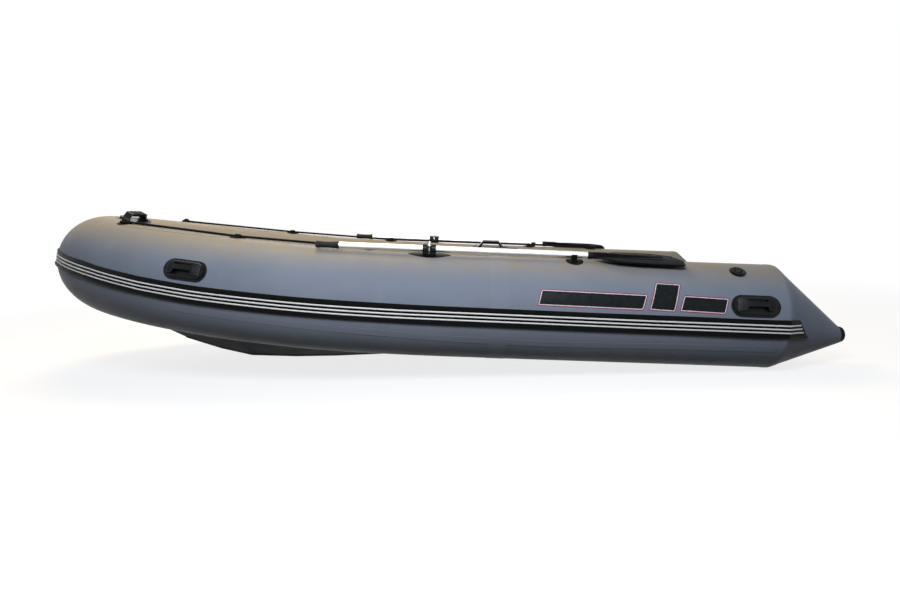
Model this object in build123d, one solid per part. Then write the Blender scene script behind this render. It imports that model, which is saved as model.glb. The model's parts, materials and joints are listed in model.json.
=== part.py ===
"""Inflatable boat with two side tubes, a bow tube, a V bottom and a pair of stowed oars.

Units are millimetres. +X points to the bow, +Y to port and +Z up. The origin is on
the floor, under the middle of the boat. The boat rests as it does on a hard floor: on its
keel forward of the middle and on its two tubes aft.
"""
from build123d import *
import os
from math import cos, degrees, pi, radians, sin, sqrt, tan

# ---------------------------------------------------------------- driving dimensions
NOSE_X = 2087.0              # foremost point of the bow tube
TIP_X = -2087.0              # aftmost point of the stern cones
BEAM = 1920.0                # over the two side tubes
TUBE_D = 510.0               # inflated tubes
FIT = 0.3                    # gap between a tube and what is glued on it

CONE_X = -1700.0             # where the side tubes start to taper
SEAM_X = -388.0              # joint between the bow tube and the side tubes
BOW_START_X = 255.0          # where the side tubes start to curve inward
SHEER_START_X = 50.0         # corner where the tubes start to rise
STRAIGHT_END_X = -200.0      # end of the stretch without any bend
SHEER_SLOPE = 0.0726         # rise of the straight tubes
SHEER_RISE = 114.0           # extra rise at the nose
SHEER_POWER = 1.75
MID_HEIGHT = 379.0           # tube axis over the floor at X = 0
BOW_BENDS = 5                # tangent arcs from the straight tube to the nose

TIP_R = 44.0                 # small end of the stern cone
TIP_LENGTH = 30.0            # rubber cap on that end
TIP_Z = 149.0

STRAKE_W = 88.0              # rub strake, measured round the tube
STRAKE_BASE = 3.0            # thickness of its web
STRAKE_LIP_W = 16.0          # rounded upper edge
STRAKE_LIP_H = 6.0
STRAKE_BUMPER_W = 19.0       # half-round lower edge
STRAKE_BUMPER_H = 11.0
STRAKE_FIT = 0.7             # its glue line
STRIPE_W = 9.5
STRIPE_T = 3.2
STRIPE_PITCH = 17.0
STRAKE_END_X = -1778.0       # its ends, on the stern cones
STRAKE_END_SLANT = 0.6       # how far they lean aft, per unit of depth
STRAKE_TAIL_TURN = 0.04      # its climb round the cones, in degrees per mm
STRAKE_ANGLES = ((-1700.0, 96.6), (-1000.0, 96.1), (320.0, 93.7), (1020.0, 92.4),
                 (1260.0, 90.5), (1460.0, 87.1), (1840.0, 78.5))   # (X, degrees from the crest)

TRANSOM_X = -1550.0          # fore face of the transom
TRANSOM_T = 35.0
TRANSOM_TOP = 412.0
TRANSOM_NOTCH_W = 560.0

FLOOR_DROP = 178.0           # top of the floorboards under the tube axis
BOARD_T = 12.0
BOARD_EDGE_GAP = 22.4        # between the boards' edges and the tubes
BOARD_GAP = 6.0
JOINER_T = 2.0               # walls of the aluminium sections between and beside the boards
JOINER_W = 34.0
STRINGER_W = 22.0
STRINGER_ENDS_X = (-1260.0, 190.0)
BOARD_ENDS_X = (-1520.0, -860.0, -200.0, 460.0)
BOW_BOARD_END_X = 1130.0
BOW_BOARD_END_HALF_W = 230.0
BOW_BOARD_SLOPE = 0.16

KEEL_CONTACT_X = 560.0
KEEL_AFT_Z = 9.0
BOTTOM_FIT = 0.7             # gap between the tubes and the bottom
KEEL_GUARD_T = 4.0
KEEL_GUARD_ENDS_X = (-1450.0, 1440.0)
BOTTOM_SEAM_ANGLE = 155.0    # where the bottom meets the tubes, from the crest, inboard

SEAT_DROP = 14.0             # underside of the seats below the beads of their rails
SEAT_T = 18.0
SEAT_W = 225.0
SEAT_STATIONS = {"front_seat": 130.0, "rear_seat": -800.0}
RAIL_ANGLE = 49.0            # seat rails, inboard of the crest
RAIL_T = 3.0
BEAD_R = 5.0                 # bead on the rails, in the groove of the seats' ends

ROWLOCK_X = -25.0
OAR_ANGLE = 14.0             # rowlocks and stowed oars, outboard of the crest
OAR_H = 30.0                 # oar axis over the tube
OAR_TILT = 0.3               # degrees, grip end up and clear of the rising bow
SHAFT_D = 30.0
GRIP_D = 34.0
OAR_GRIP_X = 546.0           # grip end, forward of the rowlock
GRIP_L = 113.0
OAR_NECK_X = -784.0          # shaft end, aft of the rowlock
BLADE_L = 430.0
BLADE_IN = 80.0              # reach of the blade inboard of the oar's axis
BLADE_OUT = 90.0             # and outboard

SWIVEL_D = 48.0              # disc that the yoke turns on
SWIVEL_Z = 7.0
PIN_D = 16.0
PIN_FLOOR = 2.0              # rubber left under the pin
DISC_T = 4.0
LUG_R = 23.0                 # lugs of the yoke round the shaft
STRAP_T = 4.0
KEEPER_X = -722.0            # clip that keeps the stowed oar
KEEPER_W = 28.0

PATCH_T = 2.0                # glued patches
ROPE_D = 11.0
ROPE_ANGLE = 4.0             # lifelines, inboard of the crest
ROPE_AFT_X = -1194.0
ROPE_BEND = 40.0             # half length of the rope's bend in a holder
ROPE_BORE = 1.2              # play round the rope in its holders
KNOT_R = 10.5
HOLDER_X = (-1105.0, -683.0, 277.0, 950.0)
HOLDER_R = 21.0
HOLDER_H = 20.0
ANCHOR_X = 1572.0            # buttons that the lifelines end at
ANCHOR_ANGLE = 6.0
EYE_R = 20.0                 # eye in the rope's end
EYE_HALF_T = 5.9             # half its thickness, with the whipping
HANDLE_L = 230.0             # side handles
HANDLE_W = 104.0
SIDE_HANDLE_PLACES = ((-1537.0, 73.3), (1061.0, 67.0))     # (X, degrees from crest)
INNER_HANDLE_X = -411.0
INNER_HANDLE_ANGLE = -21.0
BOW_HANDLE_ANGLE = -30.0
BOW_RING_ANGLE = 135.0
RING_R = 25.0
RING_WIRE_R = 4.0
VALVE_D = 62.0
VALVE_PLACES = ((-1489.0, 29.5), (1500.0, -50.0))          # on both sides aft, to port forward
TOW_RING_GAP = 120.0         # from the tubes to the rings on the transom

TUBE_R = TUBE_D / 2
ROPE_LIFT = FIT + PATCH_T + 0.6 + ROPE_D / 2
BEAD_REACH = TUBE_R + FIT + RAIL_T + BEAD_R - 1
SEAT_RISE = BEAD_REACH * cos(radians(RAIL_ANGLE)) - SEAT_DROP
TUBE_Y = BEAM / 2 - TUBE_R
BOARD_HALF_W = TUBE_Y - sqrt(TUBE_R ** 2 - FLOOR_DROP ** 2) - BOARD_EDGE_GAP
BOW_LENGTH = NOSE_X - TUBE_R - BOW_START_X
PORT, STARBOARD = 1, -1


# ---------------------------------------------------------------- the tube axis
def axis_z(x):
    """Height of the tube axis: a straight rise, then a growing one towards the nose."""
    run = max(0.0, x - SHEER_START_X) / (NOSE_X - TUBE_R - SHEER_START_X)
    return MID_HEIGHT + SHEER_SLOPE * x + SHEER_RISE * run ** SHEER_POWER


def bow_corners(start_x):
    """Corners of the tube axis from a port station round the nose to starboard.

    The bow is half an ellipse in plan. Corners at even steps of its angle, moved out by
    the secant of half a step, give runs that touch the ellipse at their middles.
    """
    step = pi / 2 / BOW_BENDS
    port = [Vector(start_x, TUBE_Y, axis_z(start_x))]
    port.append(Vector(SHEER_START_X, TUBE_Y, axis_z(SHEER_START_X)))
    for bend in range(BOW_BENDS):
        angle = step * (bend + 0.5)
        x = BOW_START_X + BOW_LENGTH * sin(angle) / cos(step / 2)
        y = TUBE_Y * cos(angle) / cos(step / 2)
        port.append(Vector(x, y, axis_z(x)))
    return port + [Vector(p.X, -p.Y, p.Z) for p in reversed(port)]


def smooth_path(corners, longest=BEAM):
    """Straight runs joined by tangent arcs, as large as fit or as a longest half length allows."""
    radii = []
    for before, corner, after in zip(corners, corners[1:], corners[2:]):
        turn = (corner - before).get_angle(after - corner)
        run = min((corner - before).length, (after - corner).length)
        radii.append(min(0.49 * run, longest) / tan(radians(turn) / 2))
    return FilletPolyline(*corners, radius=radii)


BOW_PATH = smooth_path(bow_corners(SEAM_X))


def section_at(point, along):
    """Plane across a tube. Its X axis points outboard and its Y axis to the crest."""
    outboard = Vector(0, 0, 1).cross(along).normalized()
    return Plane(origin=point, x_dir=outboard, z_dir=along)


def bow_section(u):
    """Plane across the bow tube at a share u of its length, from port to starboard."""
    return section_at(BOW_PATH @ u, BOW_PATH % u)


def bow_share(x):
    """Share of the bow path at which its port half reaches X."""
    low, high = 0.0, 0.5
    for _ in range(40):
        middle = (low + high) / 2
        if (BOW_PATH @ middle).X < x:
            low = middle
        else:
            high = middle
    return low


def port_section(x):
    """Plane across the port tube at X, on its straight part or on the bow."""
    if x > SEAM_X:
        return bow_section(bow_share(x))
    return section_at(Vector(x, TUBE_Y, axis_z(x)), Vector(1, 0, SHEER_SLOPE).normalized())


def on_tube(x, angle, height=0.0):
    """Plane on the port tube: X axis forward, Z axis out of the tube.

    The angle is in degrees from the crest, outboard positive.
    """
    section = port_section(x)
    out = section.x_dir * sin(radians(angle)) + section.y_dir * cos(radians(angle))
    return Plane(origin=section.origin + out * (TUBE_R + height), x_dir=section.z_dir, z_dir=out)


def ring_sector(inner, outer, middle_angle, half_angle):
    """Sketch of a strip round a tube, in a section plane; angles from the crest."""
    def at(radius, angle):
        return (radius * sin(radians(angle)), radius * cos(radians(angle)))
    first, last = middle_angle - half_angle, middle_angle + half_angle
    inside = ThreePointArc(at(inner, first), at(inner, middle_angle), at(inner, last))
    outside = ThreePointArc(at(outer, first), at(outer, middle_angle), at(outer, last))
    sides = [Line(inside @ 0, outside @ 0), Line(inside @ 1, outside @ 1)]
    return make_face([inside, outside] + sides)


def strip_on_tube(from_x, to_x, inner, outer, middle_angle, half_angle):
    """Curved strip on the straight port tube, between two stations."""
    start = port_section(from_x)
    length = (to_x - from_x) * sqrt(1 + SHEER_SLOPE ** 2)
    return extrude(start * ring_sector(inner, outer, middle_angle, half_angle), length)


def both_sides(shape):
    """The port piece and its mirror image, as solids that don't touch."""
    return Compound(children=list(shape.solids()) + list(mirror(shape, about=Plane.XZ).solids()))


def save(name, shape):
    shape.label = name
    export_step(shape, f"parts/{name}.step")


# ---------------------------------------------------------------- tubes
def bow_tube(radius):
    return sweep(bow_section(0) * Circle(radius), path=BOW_PATH)


def side_tube(radius):
    """Port tube from the seam aft, with its stern cone, cut where the cap begins."""
    start = port_section(CONE_X)
    length = (SEAM_X - CONE_X) * sqrt(1 + SHEER_SLOPE ** 2)
    barrel = extrude(start * Circle(radius), length)
    tip = Plane(origin=(TIP_X + TIP_LENGTH, TUBE_Y, TIP_Z), x_dir=(0, 1, 0), z_dir=(1, 0, 0))
    cone = loft([start * Circle(radius), tip * Circle(TIP_R + radius - TUBE_R)])
    return barrel + cone


def along_port(from_x, to_x, profile, steps=8):
    """Profile carried along the port tube: straight aft, lofted where the tube bends."""
    if to_x < STRAIGHT_END_X:
        return extrude(port_section(from_x) * profile, (to_x - from_x) * sqrt(1 + SHEER_SLOPE ** 2))
    stations = [from_x + (to_x - from_x) * i / steps for i in range(steps + 1)]
    return loft([port_section(x) * profile for x in stations])


def tube_near(x, reach, height=0.0):
    """Stretch of the port tube or the bow tube around a station, as its fittings see it."""
    return along_port(x - reach, min(x + reach, NOSE_X - TUBE_R - 5), Circle(TUBE_R + FIT + height))


def nose_tube(height=0.0):
    """Stretch of the bow tube around the nose."""
    return loft([bow_section(0.5 + i / 100) * Circle(TUBE_R + FIT + height) for i in range(-5, 6)])


def hugging(outline, place, inner_tube, outer_tube):
    """Glued sheet of an outline that follows the tube between two radii."""
    return (place * extrude(outline, 40, both=True)) & (outer_tube - inner_tube)


def fitting(x, angle, outline, shape):
    """Moulded piece on its glued patch, trimmed to the tube. Shape is in the tube's plane there."""
    place = on_tube(x, angle)
    reach = outline.bounding_box().size.X * 0.62
    tube = tube_near(x, reach)
    patch = hugging(outline, place, tube, tube_near(x, reach, PATCH_T))
    return outer_solid(patch + (place * shape - tube), place)


def nose_place(angle):
    """Plane on the nose: X axis to starboard, Z axis out of the tube."""
    section = bow_section(0.5)
    out = section.x_dir * sin(radians(angle)) + section.y_dir * cos(radians(angle))
    return Plane(origin=section.origin + out * TUBE_R, x_dir=section.z_dir, z_dir=out)


def nose_fitting(angle, outline, shape):
    place = nose_place(angle)
    tube = nose_tube()
    patch = hugging(outline, place, tube, nose_tube(PATCH_T))
    return outer_solid(patch + (place * shape - tube), place)


def outer_solid(shape, place):
    """The solid of a trimmed fitting that lies outside its tube."""
    return shape.solids().sort_by(Axis(place.origin, place.z_dir))[-1]


def cone_cap():
    """Rubber cap on the end of the stern cone: a plug with a rounded end."""
    shoulder, round_r = TIP_R - 5, 18.0
    wall = Polyline((0, 0), (TIP_R, 0), (shoulder, TIP_LENGTH - round_r))
    nose = RadiusArc(wall @ 1, (shoulder - round_r, TIP_LENGTH), -round_r)
    profile = make_face([wall, nose, Polyline(nose @ 1, (0, TIP_LENGTH), (0, 0))])
    seat = Plane(origin=(TIP_X + TIP_LENGTH, TUBE_Y, TIP_Z), x_dir=(0, 1, 0), z_dir=(0, 0, 1))
    return seat * revolve(profile, axis=Axis.Y)


# ---------------------------------------------------------------- rub strake
def strake_angle(x):
    """Angle of the strake from the crest: it climbs towards the nose."""
    stations = STRAKE_ANGLES
    if x <= stations[0][0]:
        return stations[0][1]
    for (x0, a0), (x1, a1) in zip(stations, stations[1:]):
        if x <= x1:
            return a0 + (a1 - a0) * (x - x0) / (x1 - x0)
    return stations[-1][1]


def strake_sections():
    """Section planes with their angle, from the port stern round to the starboard stern."""
    port = [(port_section(x), strake_angle(x)) for x in (CONE_X, -1300.0, -900.0, -500.0)]
    shares = [bow_share(x) for x in (-300.0, 0.0, 150.0)]
    start = bow_share(250.0)
    steps = 34
    shares += [start + (0.5 - start) * i / steps for i in range(steps + 1)]
    port += [(bow_section(u), strake_angle((BOW_PATH @ u).X)) for u in shares]
    starboard = []
    for plane, angle in reversed(port[:-1]):
        out = Vector(plane.x_dir.X, -plane.x_dir.Y, plane.x_dir.Z)
        along = Vector(plane.z_dir.X, -plane.z_dir.Y, plane.z_dir.Z)
        mirrored = Plane(origin=(plane.origin.X, -plane.origin.Y, plane.origin.Z),
                         x_dir=out, z_dir=along * -1)
        starboard.append((mirrored, angle))
    return port + starboard


def strake_profile(angle, radius):
    """The black extrusion in a section plane: web, bevelled lip above, bumper below."""
    def at(offset, height):
        turn = radians(angle) + offset / radius
        reach = radius + STRAKE_FIT + height
        return (reach * sin(turn), reach * cos(turn))
    edge = STRAKE_W / 2
    lip, bumper = edge - STRAKE_LIP_W, edge - STRAKE_BUMPER_W
    bevel = 5.0
    seat = ThreePointArc(at(-edge, 0), at(0, 0), at(edge, 0))
    below = Polyline(at(edge, 0), at(edge, STRAKE_BUMPER_H - bevel), at(edge - bevel, STRAKE_BUMPER_H),
                     at(bumper + bevel, STRAKE_BUMPER_H), at(bumper, STRAKE_BASE))
    web = ThreePointArc(at(bumper, STRAKE_BASE), at((bumper - lip) / 2, STRAKE_BASE), at(-lip, STRAKE_BASE))
    above = Polyline(at(-lip, STRAKE_BASE), at(-lip - bevel, STRAKE_LIP_H), at(bevel - edge, STRAKE_LIP_H),
                     at(-edge, 1), at(-edge, 0))
    return make_face([seat, below, web, above])


def stripe_profile(angle, radius, offset):
    """One white rib, lying on the web."""
    inner = radius + STRAKE_FIT + STRAKE_BASE + 0.1
    return ring_sector(inner, inner + STRIPE_T, angle + degrees(offset / radius),
                       degrees(STRIPE_W / 2 / radius))


def cone_station(x):
    """Plane across the stern cone and its radius there."""
    start, share = port_section(CONE_X), (CONE_X - x) / (CONE_X - TIP_X - TIP_LENGTH)
    tip = Vector(TIP_X + TIP_LENGTH, TUBE_Y, TIP_Z)
    up = start.y_dir * (TUBE_R * (1 - share)) + Vector(0, 0, TIP_R * share)
    along = Vector(0, 1, 0).cross(up).normalized()
    plane = Plane(origin=start.origin * (1 - share) + tip * share, x_dir=(0, 1, 0), z_dir=along)
    return plane, TUBE_R + (TIP_R - TUBE_R) * share


def strake_tail(profile):
    """Stretch of a strake moulding on the stern cone, with its slanted end."""
    faces = []
    for x in (CONE_X - FIT, STRAKE_END_X - STRAKE_W / 2):
        plane, radius = cone_station(x)
        angle = strake_angle(CONE_X) - (CONE_X - x) * STRAKE_TAIL_TURN
        faces.append(plane * profile(angle, radius))
    end, _ = cone_station(STRAKE_END_X)
    cut = Plane(origin=end.origin, z_dir=(1, 0, -STRAKE_END_SLANT))
    return split(loft(faces), bisect_by=cut, keep=Keep.TOP).solid()


def strake(profile):
    """A strake moulding from stern to stern, with a tail on each cone."""
    faces = [plane * profile(angle, TUBE_R) for plane, angle in strake_sections()]
    tail = strake_tail(profile)
    return [loft(faces).solid(), tail, mirror(tail, about=Plane.XZ).solid()]


def strake_stripes():
    solids = []
    for offset in (-STRIPE_PITCH, 0, STRIPE_PITCH):
        solids += strake(lambda angle, radius: stripe_profile(angle, radius, offset))
    return Compound(children=solids)


# ---------------------------------------------------------------- bottom
def keel_z(x):
    """Height of the keel guard's underside: nearly level aft, then up the forefoot to the nose."""
    points = ((TRANSOM_X, KEEL_AFT_Z), (KEEL_CONTACT_X, 0.0), (800.0, 5.0),
              (1060.0, 22.0), (1240.0, 70.0), (1440.0, 142.0), (1620.0, 235.0), (1720.0, 310.0))
    for (x0, z0), (x1, z1) in zip(points, points[1:]):
        if x <= x1:
            return z0 + (z1 - z0) * (x - x0) / (x1 - x0)
    return points[-1][1]


BOTTOM_STATIONS = (TRANSOM_X + FIT, KEEL_GUARD_ENDS_X[0], -900.0, -200.0, 300.0, BOARD_ENDS_X[-1],
                   KEEL_CONTACT_X, 800.0, 940.0, 1060.0, 1150.0, 1240.0, 1340.0, KEEL_GUARD_ENDS_X[1],
                   1530.0, 1620.0, 1690.0)


def floor_z(x):
    """Top of the floorboards: parallel to the straight tubes, then steeper under the bow board."""
    straight_end = BOARD_ENDS_X[-1]
    rise = SHEER_SLOPE * min(x, straight_end) + BOW_BOARD_SLOPE * max(0.0, x - straight_end)
    return MID_HEIGHT + rise - FLOOR_DROP


def keel_arc(x):
    """Heights and half width of the rounded keel at a station."""
    section = port_section(x)
    turn = radians(180 - BOTTOM_SEAM_ANGLE)
    seam = section.origin - (section.x_dir * sin(turn) + section.y_dir * cos(turn)) * (TUBE_R - 12)
    keel = keel_z(x) + KEEL_GUARD_T + FIT
    half = max(seam.Y, 12)
    flat = min(45.0, half * 0.3)
    return seam.Z, half, flat, keel, keel + 4 + (seam.Z - keel) * flat / half * 0.5


def cross_plane(x):
    return Plane(origin=(x, 0, 0), x_dir=(0, 1, 0), z_dir=(1, 0, 0))


def bottom_section(x):
    """Outline of the bottom across the boat: a V with a rounded keel, flat on top."""
    seam_z, half, flat, keel, near_keel = keel_arc(x)
    top = max(floor_z(x) - BOARD_T - JOINER_T - 3 * FIT, seam_z + 8)
    outline = Polyline((-flat, near_keel), (-half, seam_z), (-half, top), (half, top),
                       (half, seam_z), (flat, near_keel))
    round_keel = ThreePointArc(outline @ 1, (0, keel), outline @ 0)
    return cross_plane(x) * make_face([outline, round_keel])


def keel_guard_section(x):
    """Crescent of rubber under the rounded keel."""
    _, _, flat, keel, near_keel = keel_arc(x)
    inner = ThreePointArc((-flat, near_keel - FIT), (0, keel - FIT), (flat, near_keel - FIT))
    outer = ThreePointArc((flat, near_keel - FIT - 1), (0, keel_z(x)), (-flat, near_keel - FIT - 1))
    return cross_plane(x) * make_face([inner, Line(inner @ 1, outer @ 0), outer, Line(outer @ 1, inner @ 0)])


def hull_bottom():
    body = loft([bottom_section(x) for x in BOTTOM_STATIONS], ruled=True)
    grown = TUBE_R + BOTTOM_FIT
    port = side_tube(grown)
    return body - bow_tube(grown) - port - mirror(port, about=Plane.XZ)


def keel_guard():
    first, last = KEEL_GUARD_ENDS_X
    return loft([keel_guard_section(x) for x in BOTTOM_STATIONS if first <= x <= last], ruled=True)


# ---------------------------------------------------------------- floor
def floor_plane():
    """Top of the three straight floorboards, sloping with the tubes."""
    x = BOARD_ENDS_X[0]
    return Plane(origin=(x, 0, floor_z(x)), x_dir=Vector(1, 0, SHEER_SLOPE), z_dir=Vector(-SHEER_SLOPE, 0, 1))


def along_floor(x):
    """Distance of a station from the aft end of the floor, measured on the boards."""
    return (x - BOARD_ENDS_X[0]) * sqrt(1 + SHEER_SLOPE ** 2)


def bow_board_plane():
    """Top of the bow board, with its origin at the board's aft edge."""
    x = BOARD_ENDS_X[-1]
    return Plane(origin=(x, 0, floor_z(x)), x_dir=Vector(1, 0, BOW_BOARD_SLOPE),
                 z_dir=Vector(-BOW_BOARD_SLOPE, 0, 1))


def floorboard(index):
    start = along_floor(BOARD_ENDS_X[index])
    end = along_floor(BOARD_ENDS_X[index + 1]) - BOARD_GAP
    board = extrude(Pos((start + end) / 2, 0) * RectangleRounded(end - start, 2 * BOARD_HALF_W, 12), -BOARD_T)
    return floor_plane() * board


def bow_floorboard():
    """Board that narrows to the bow, with its sides bent once."""
    length = (BOW_BOARD_END_X - BOARD_ENDS_X[-1]) * sqrt(1 + BOW_BOARD_SLOPE ** 2)
    wide, bend, narrow = BOARD_HALF_W - 8, BOARD_HALF_W * 0.82, BOW_BOARD_END_HALF_W
    outline = Polyline((0, -wide), (0, wide), (length * 0.55, bend), (length, narrow),
                       (length, -narrow), (length * 0.55, -bend), close=True)
    return bow_board_plane() * extrude(make_face(outline), -BOARD_T)


def half_joiner(plane, x, side):
    """Channel that takes one board's edge; side is the way in which it opens."""
    reach, web, root = JOINER_W / 2, BOARD_GAP / 2 - FIT, -1.0
    top = JOINER_T + FIT
    bottom = -BOARD_T - FIT - JOINER_T
    outline = Polyline((side * root, top), (side * reach, top), (side * reach, FIT), (side * web, FIT),
                       (side * web, -BOARD_T - FIT), (side * reach, -BOARD_T - FIT),
                       (side * reach, bottom), (side * root, bottom), close=True)
    across = Plane(origin=plane.from_local_coords((x, 0, 0)), x_dir=plane.x_dir, z_dir=Vector(0, -1, 0))
    return extrude(across * make_face(outline), BOARD_HALF_W - STRINGER_W, both=True)


def floor_joiner(index):
    """Aluminium H section between two boards; the foremost is bent for the bow board."""
    plane = floor_plane()
    x = along_floor(BOARD_ENDS_X[index]) - BOARD_GAP / 2
    aft = half_joiner(plane, x, -1)
    if index < len(BOARD_ENDS_X) - 1:
        return aft + half_joiner(plane, x, 1)
    return aft + half_joiner(bow_board_plane(), -BOARD_GAP / 2, 1)


def stringer():
    """Aluminium channel along the port edge of the boards."""
    first, last = (along_floor(x) for x in STRINGER_ENDS_X)
    edge, wall, top = BOARD_HALF_W + FIT, JOINER_T, FIT + JOINER_T
    root = edge + wall - STRINGER_W + FIT
    outline = Polyline((root, FIT), (root, top), (edge + wall, top), (edge + wall, -BOARD_T - top),
                       (root, -BOARD_T - top), (root, -BOARD_T - FIT), (edge, -BOARD_T - FIT), (edge, FIT),
                       close=True)
    plane = floor_plane()
    across = Plane(origin=plane.from_local_coords((first, 0, 0)), x_dir=(0, 1, 0), z_dir=plane.x_dir)
    return extrude(across * make_face(outline), last - first)


# ---------------------------------------------------------------- transom
def transom_outline():
    """Board between the tubes: V at the bottom, low in the middle for the motor."""
    section = port_section(TRANSOM_X)
    seam_y = section.origin.Y - (TUBE_R - 10) * cos(radians(BOTTOM_SEAM_ANGLE - 90))
    seam_z = section.origin.Z - (TUBE_R - 10) * sin(radians(BOTTOM_SEAM_ANGLE - 90))
    side = TUBE_Y - 40
    notch = TRANSOM_NOTCH_W / 2
    crest = section.origin.Z + 175
    return [(0, KEEL_AFT_Z + 20), (seam_y, seam_z + 20), (side, seam_z + 60), (side, crest),
            (notch + 150, crest), (notch, TRANSOM_TOP), (-notch, TRANSOM_TOP), (-notch - 150, crest),
            (-side, crest), (-side, seam_z + 60), (-seam_y, seam_z + 20)]


def transom_board():
    plane = cross_plane(TRANSOM_X)
    board = extrude(plane * make_face(Polyline(*transom_outline(), close=True)), -TRANSOM_T)
    port = side_tube(TUBE_R + FIT)
    return board - port - mirror(port, about=Plane.XZ)


def transom_plates():
    """Plastic pads that the motor's clamp bites: one inside, one outside."""
    width, height = 300.0, 210.0
    inner = Plane(origin=(TRANSOM_X, 0, TRANSOM_TOP - 12), x_dir=(0, 1, 0), z_dir=(1, 0, 0))
    pad = extrude(inner * Pos(0, -height / 2) * RectangleRounded(width, height, 20), 6)
    outer = Plane(origin=(TRANSOM_X - TRANSOM_T, 0, TRANSOM_TOP - 12), x_dir=(0, -1, 0), z_dir=(-1, 0, 0))
    back = extrude(outer * Pos(0, -height / 2) * RectangleRounded(width, height, 20), 6)
    return Compound(children=[pad.solid(), back.solid()])


def transom_cuffs():
    """PVC strips round the tubes, against both faces of the board."""
    inner, outer = TUBE_R + FIT, TUBE_R + FIT + 4
    lean = TUBE_R * SHEER_SLOPE + 4
    fore = strip_on_tube(TRANSOM_X + lean, TRANSOM_X + lean + 60, inner, outer, -98, 32)
    aft_x = TRANSOM_X - TRANSOM_T - lean
    aft = strip_on_tube(aft_x - 60, aft_x, inner, outer, -98, 32)
    return both_sides(Compound(children=[fore.solid(), aft.solid()]))


def drain_plug():
    """Bailing valve low in the transom: flange, body and screwed cap with grip lugs."""
    axis = Plane(origin=(TRANSOM_X, -170, 118), x_dir=(0, 1, 0), z_dir=(1, 0, 0))
    flange = extrude(Circle(30), 5)
    cap = chamfer(extrude(Circle(21), 16).edges().group_by(Axis.Z)[-1], 2)
    lugs = [Rot(0, 0, 60 * i) * Pos(20, 0, 8) * Box(8, 9, 8) for i in range(6)]
    return axis * (flange + cap + lugs)


# ---------------------------------------------------------------- seats
def bead_circle(radius):
    """Bead of a rail in a section plane, sunk a little into its strip."""
    turn = radians(RAIL_ANGLE)
    return Pos(-BEAD_REACH * sin(turn), BEAD_REACH * cos(turn)) * Circle(radius)


def rail(from_x, to_x):
    """Glued strip with a round bead."""
    inner = TUBE_R + FIT
    strip = ring_sector(inner, inner + RAIL_T, -RAIL_ANGLE, 5)
    return along_port(from_x, to_x, strip + bead_circle(BEAD_R), 4)


def seat_rails():
    """Beaded strips along the inner shoulders of the tubes."""
    lengths = ((-1180.0, -430.0), (-60.0, 250.0))
    return both_sides(Compound(children=[rail(from_x, to_x).solid() for from_x, to_x in lengths]))


def seat(x):
    """Plywood bench whose grooved ends slide on the beads of the rails."""
    section = port_section(x)
    plane = Plane(origin=(x, 0, section.origin.Z + SEAT_RISE), x_dir=Vector(1, 0, SHEER_SLOPE),
                  z_dir=Vector(-SHEER_SLOPE, 0, 1))
    board = extrude(plane * RectangleRounded(SEAT_W, 2 * TUBE_Y - 80, 18), SEAT_T)
    reach = SEAT_W / 2 + 25
    groove = along_port(x - reach, x + reach, bead_circle(BEAD_R + FIT), 4)
    for shape in (tube_near(x, reach, RAIL_T + FIT), groove):
        board = board - shape - mirror(shape, about=Plane.XZ)
    return board.solids().sort_by(lambda s: s.volume)[-1]


# ---------------------------------------------------------------- handles
def bowed_strap(span, rise, seat_z, thickness, outline):
    """Strap that bows away from its plane, cut to an outline seen from above."""
    lower = ThreePointArc((-span / 2, seat_z), (0, seat_z + rise), (span / 2, seat_z))
    upper = ThreePointArc((span / 2, seat_z + thickness), (0, seat_z + rise + thickness),
                          (-span / 2, seat_z + thickness))
    band = make_face([lower, Line(lower @ 1, upper @ 0), upper, Line(upper @ 1, lower @ 0)])
    return extrude(Plane.XZ * band, span, both=True) & extrude(outline, 200, both=True)


def side_handle(x, angle):
    """Moulded carrying handle: flange, dished frame with a pocket, and a bone-shaped strap across it."""
    frame_h, pocket = 11.0, RectangleRounded(128, 58, 16)
    frame = Pos(0, 0, -12) * extrude(SlotOverall(HANDLE_L - 26, HANDLE_W - 24), 12 + frame_h)
    frame = chamfer(frame.edges().group_by(Axis.Z)[-1], 3)
    frame -= Pos(0, 0, 4) * extrude(pocket, 30)
    bone = Pos(0, -6) * (Rectangle(130, 24) + Pos(-70, 2) * RectangleRounded(46, 56, 10)
                         + Pos(70, 2) * RectangleRounded(46, 56, 10))
    strap = bowed_strap(176, 17, frame_h - 4, 7, bone)
    return fitting(x, angle, SlotOverall(HANDLE_L, HANDLE_W), frame + strap)


def side_handles():
    return both_sides(Compound(children=[side_handle(*place) for place in SIDE_HANDLE_PLACES]))


def grab_handle(length, height, width, bar=11.0, foot_top=4.0):
    """Moulded grab handle: two splayed feet and a round-cornered bar over them."""
    foot = 30.0
    half = length / 2 - foot
    outer = Polyline((-length / 2, 0), (-half - 4, height * 0.45), (-half + 16, height), (half - 16, height),
                     (half + 4, height * 0.45), (length / 2, 0), close=True)
    low = Polyline((-half + 6, 4), (-half + 8, height * 0.4), (-half + 24, height - bar),
                   (half - 24, height - bar), (half - 8, height * 0.4), (half - 6, 4), close=True)
    profile = fillet(make_face(outer).vertices().group_by(Axis.Y)[-1], 12) - make_face(low)
    bar_solid = extrude(Plane.XZ * profile, width / 2, both=True)
    pad = extrude(SlotOverall(foot * 2, width + 18), 10 + foot_top)
    return bar_solid + [Pos(side * (half + 10), 0, -10) * pad for side in (PORT, STARBOARD)]


def inner_handle():
    """Grab handle on the inner shoulder of the tube."""
    return fitting(INNER_HANDLE_X, INNER_HANDLE_ANGLE, SlotOverall(250, 76), grab_handle(200, 50, 24))


def bow_handle():
    """Lifting handle across the nose, on the saddle of the inner shoulder."""
    return nose_fitting(BOW_HANDLE_ANGLE, SlotOverall(330, 90), grab_handle(286, 55, 36, 16.0, 24.0))


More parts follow.
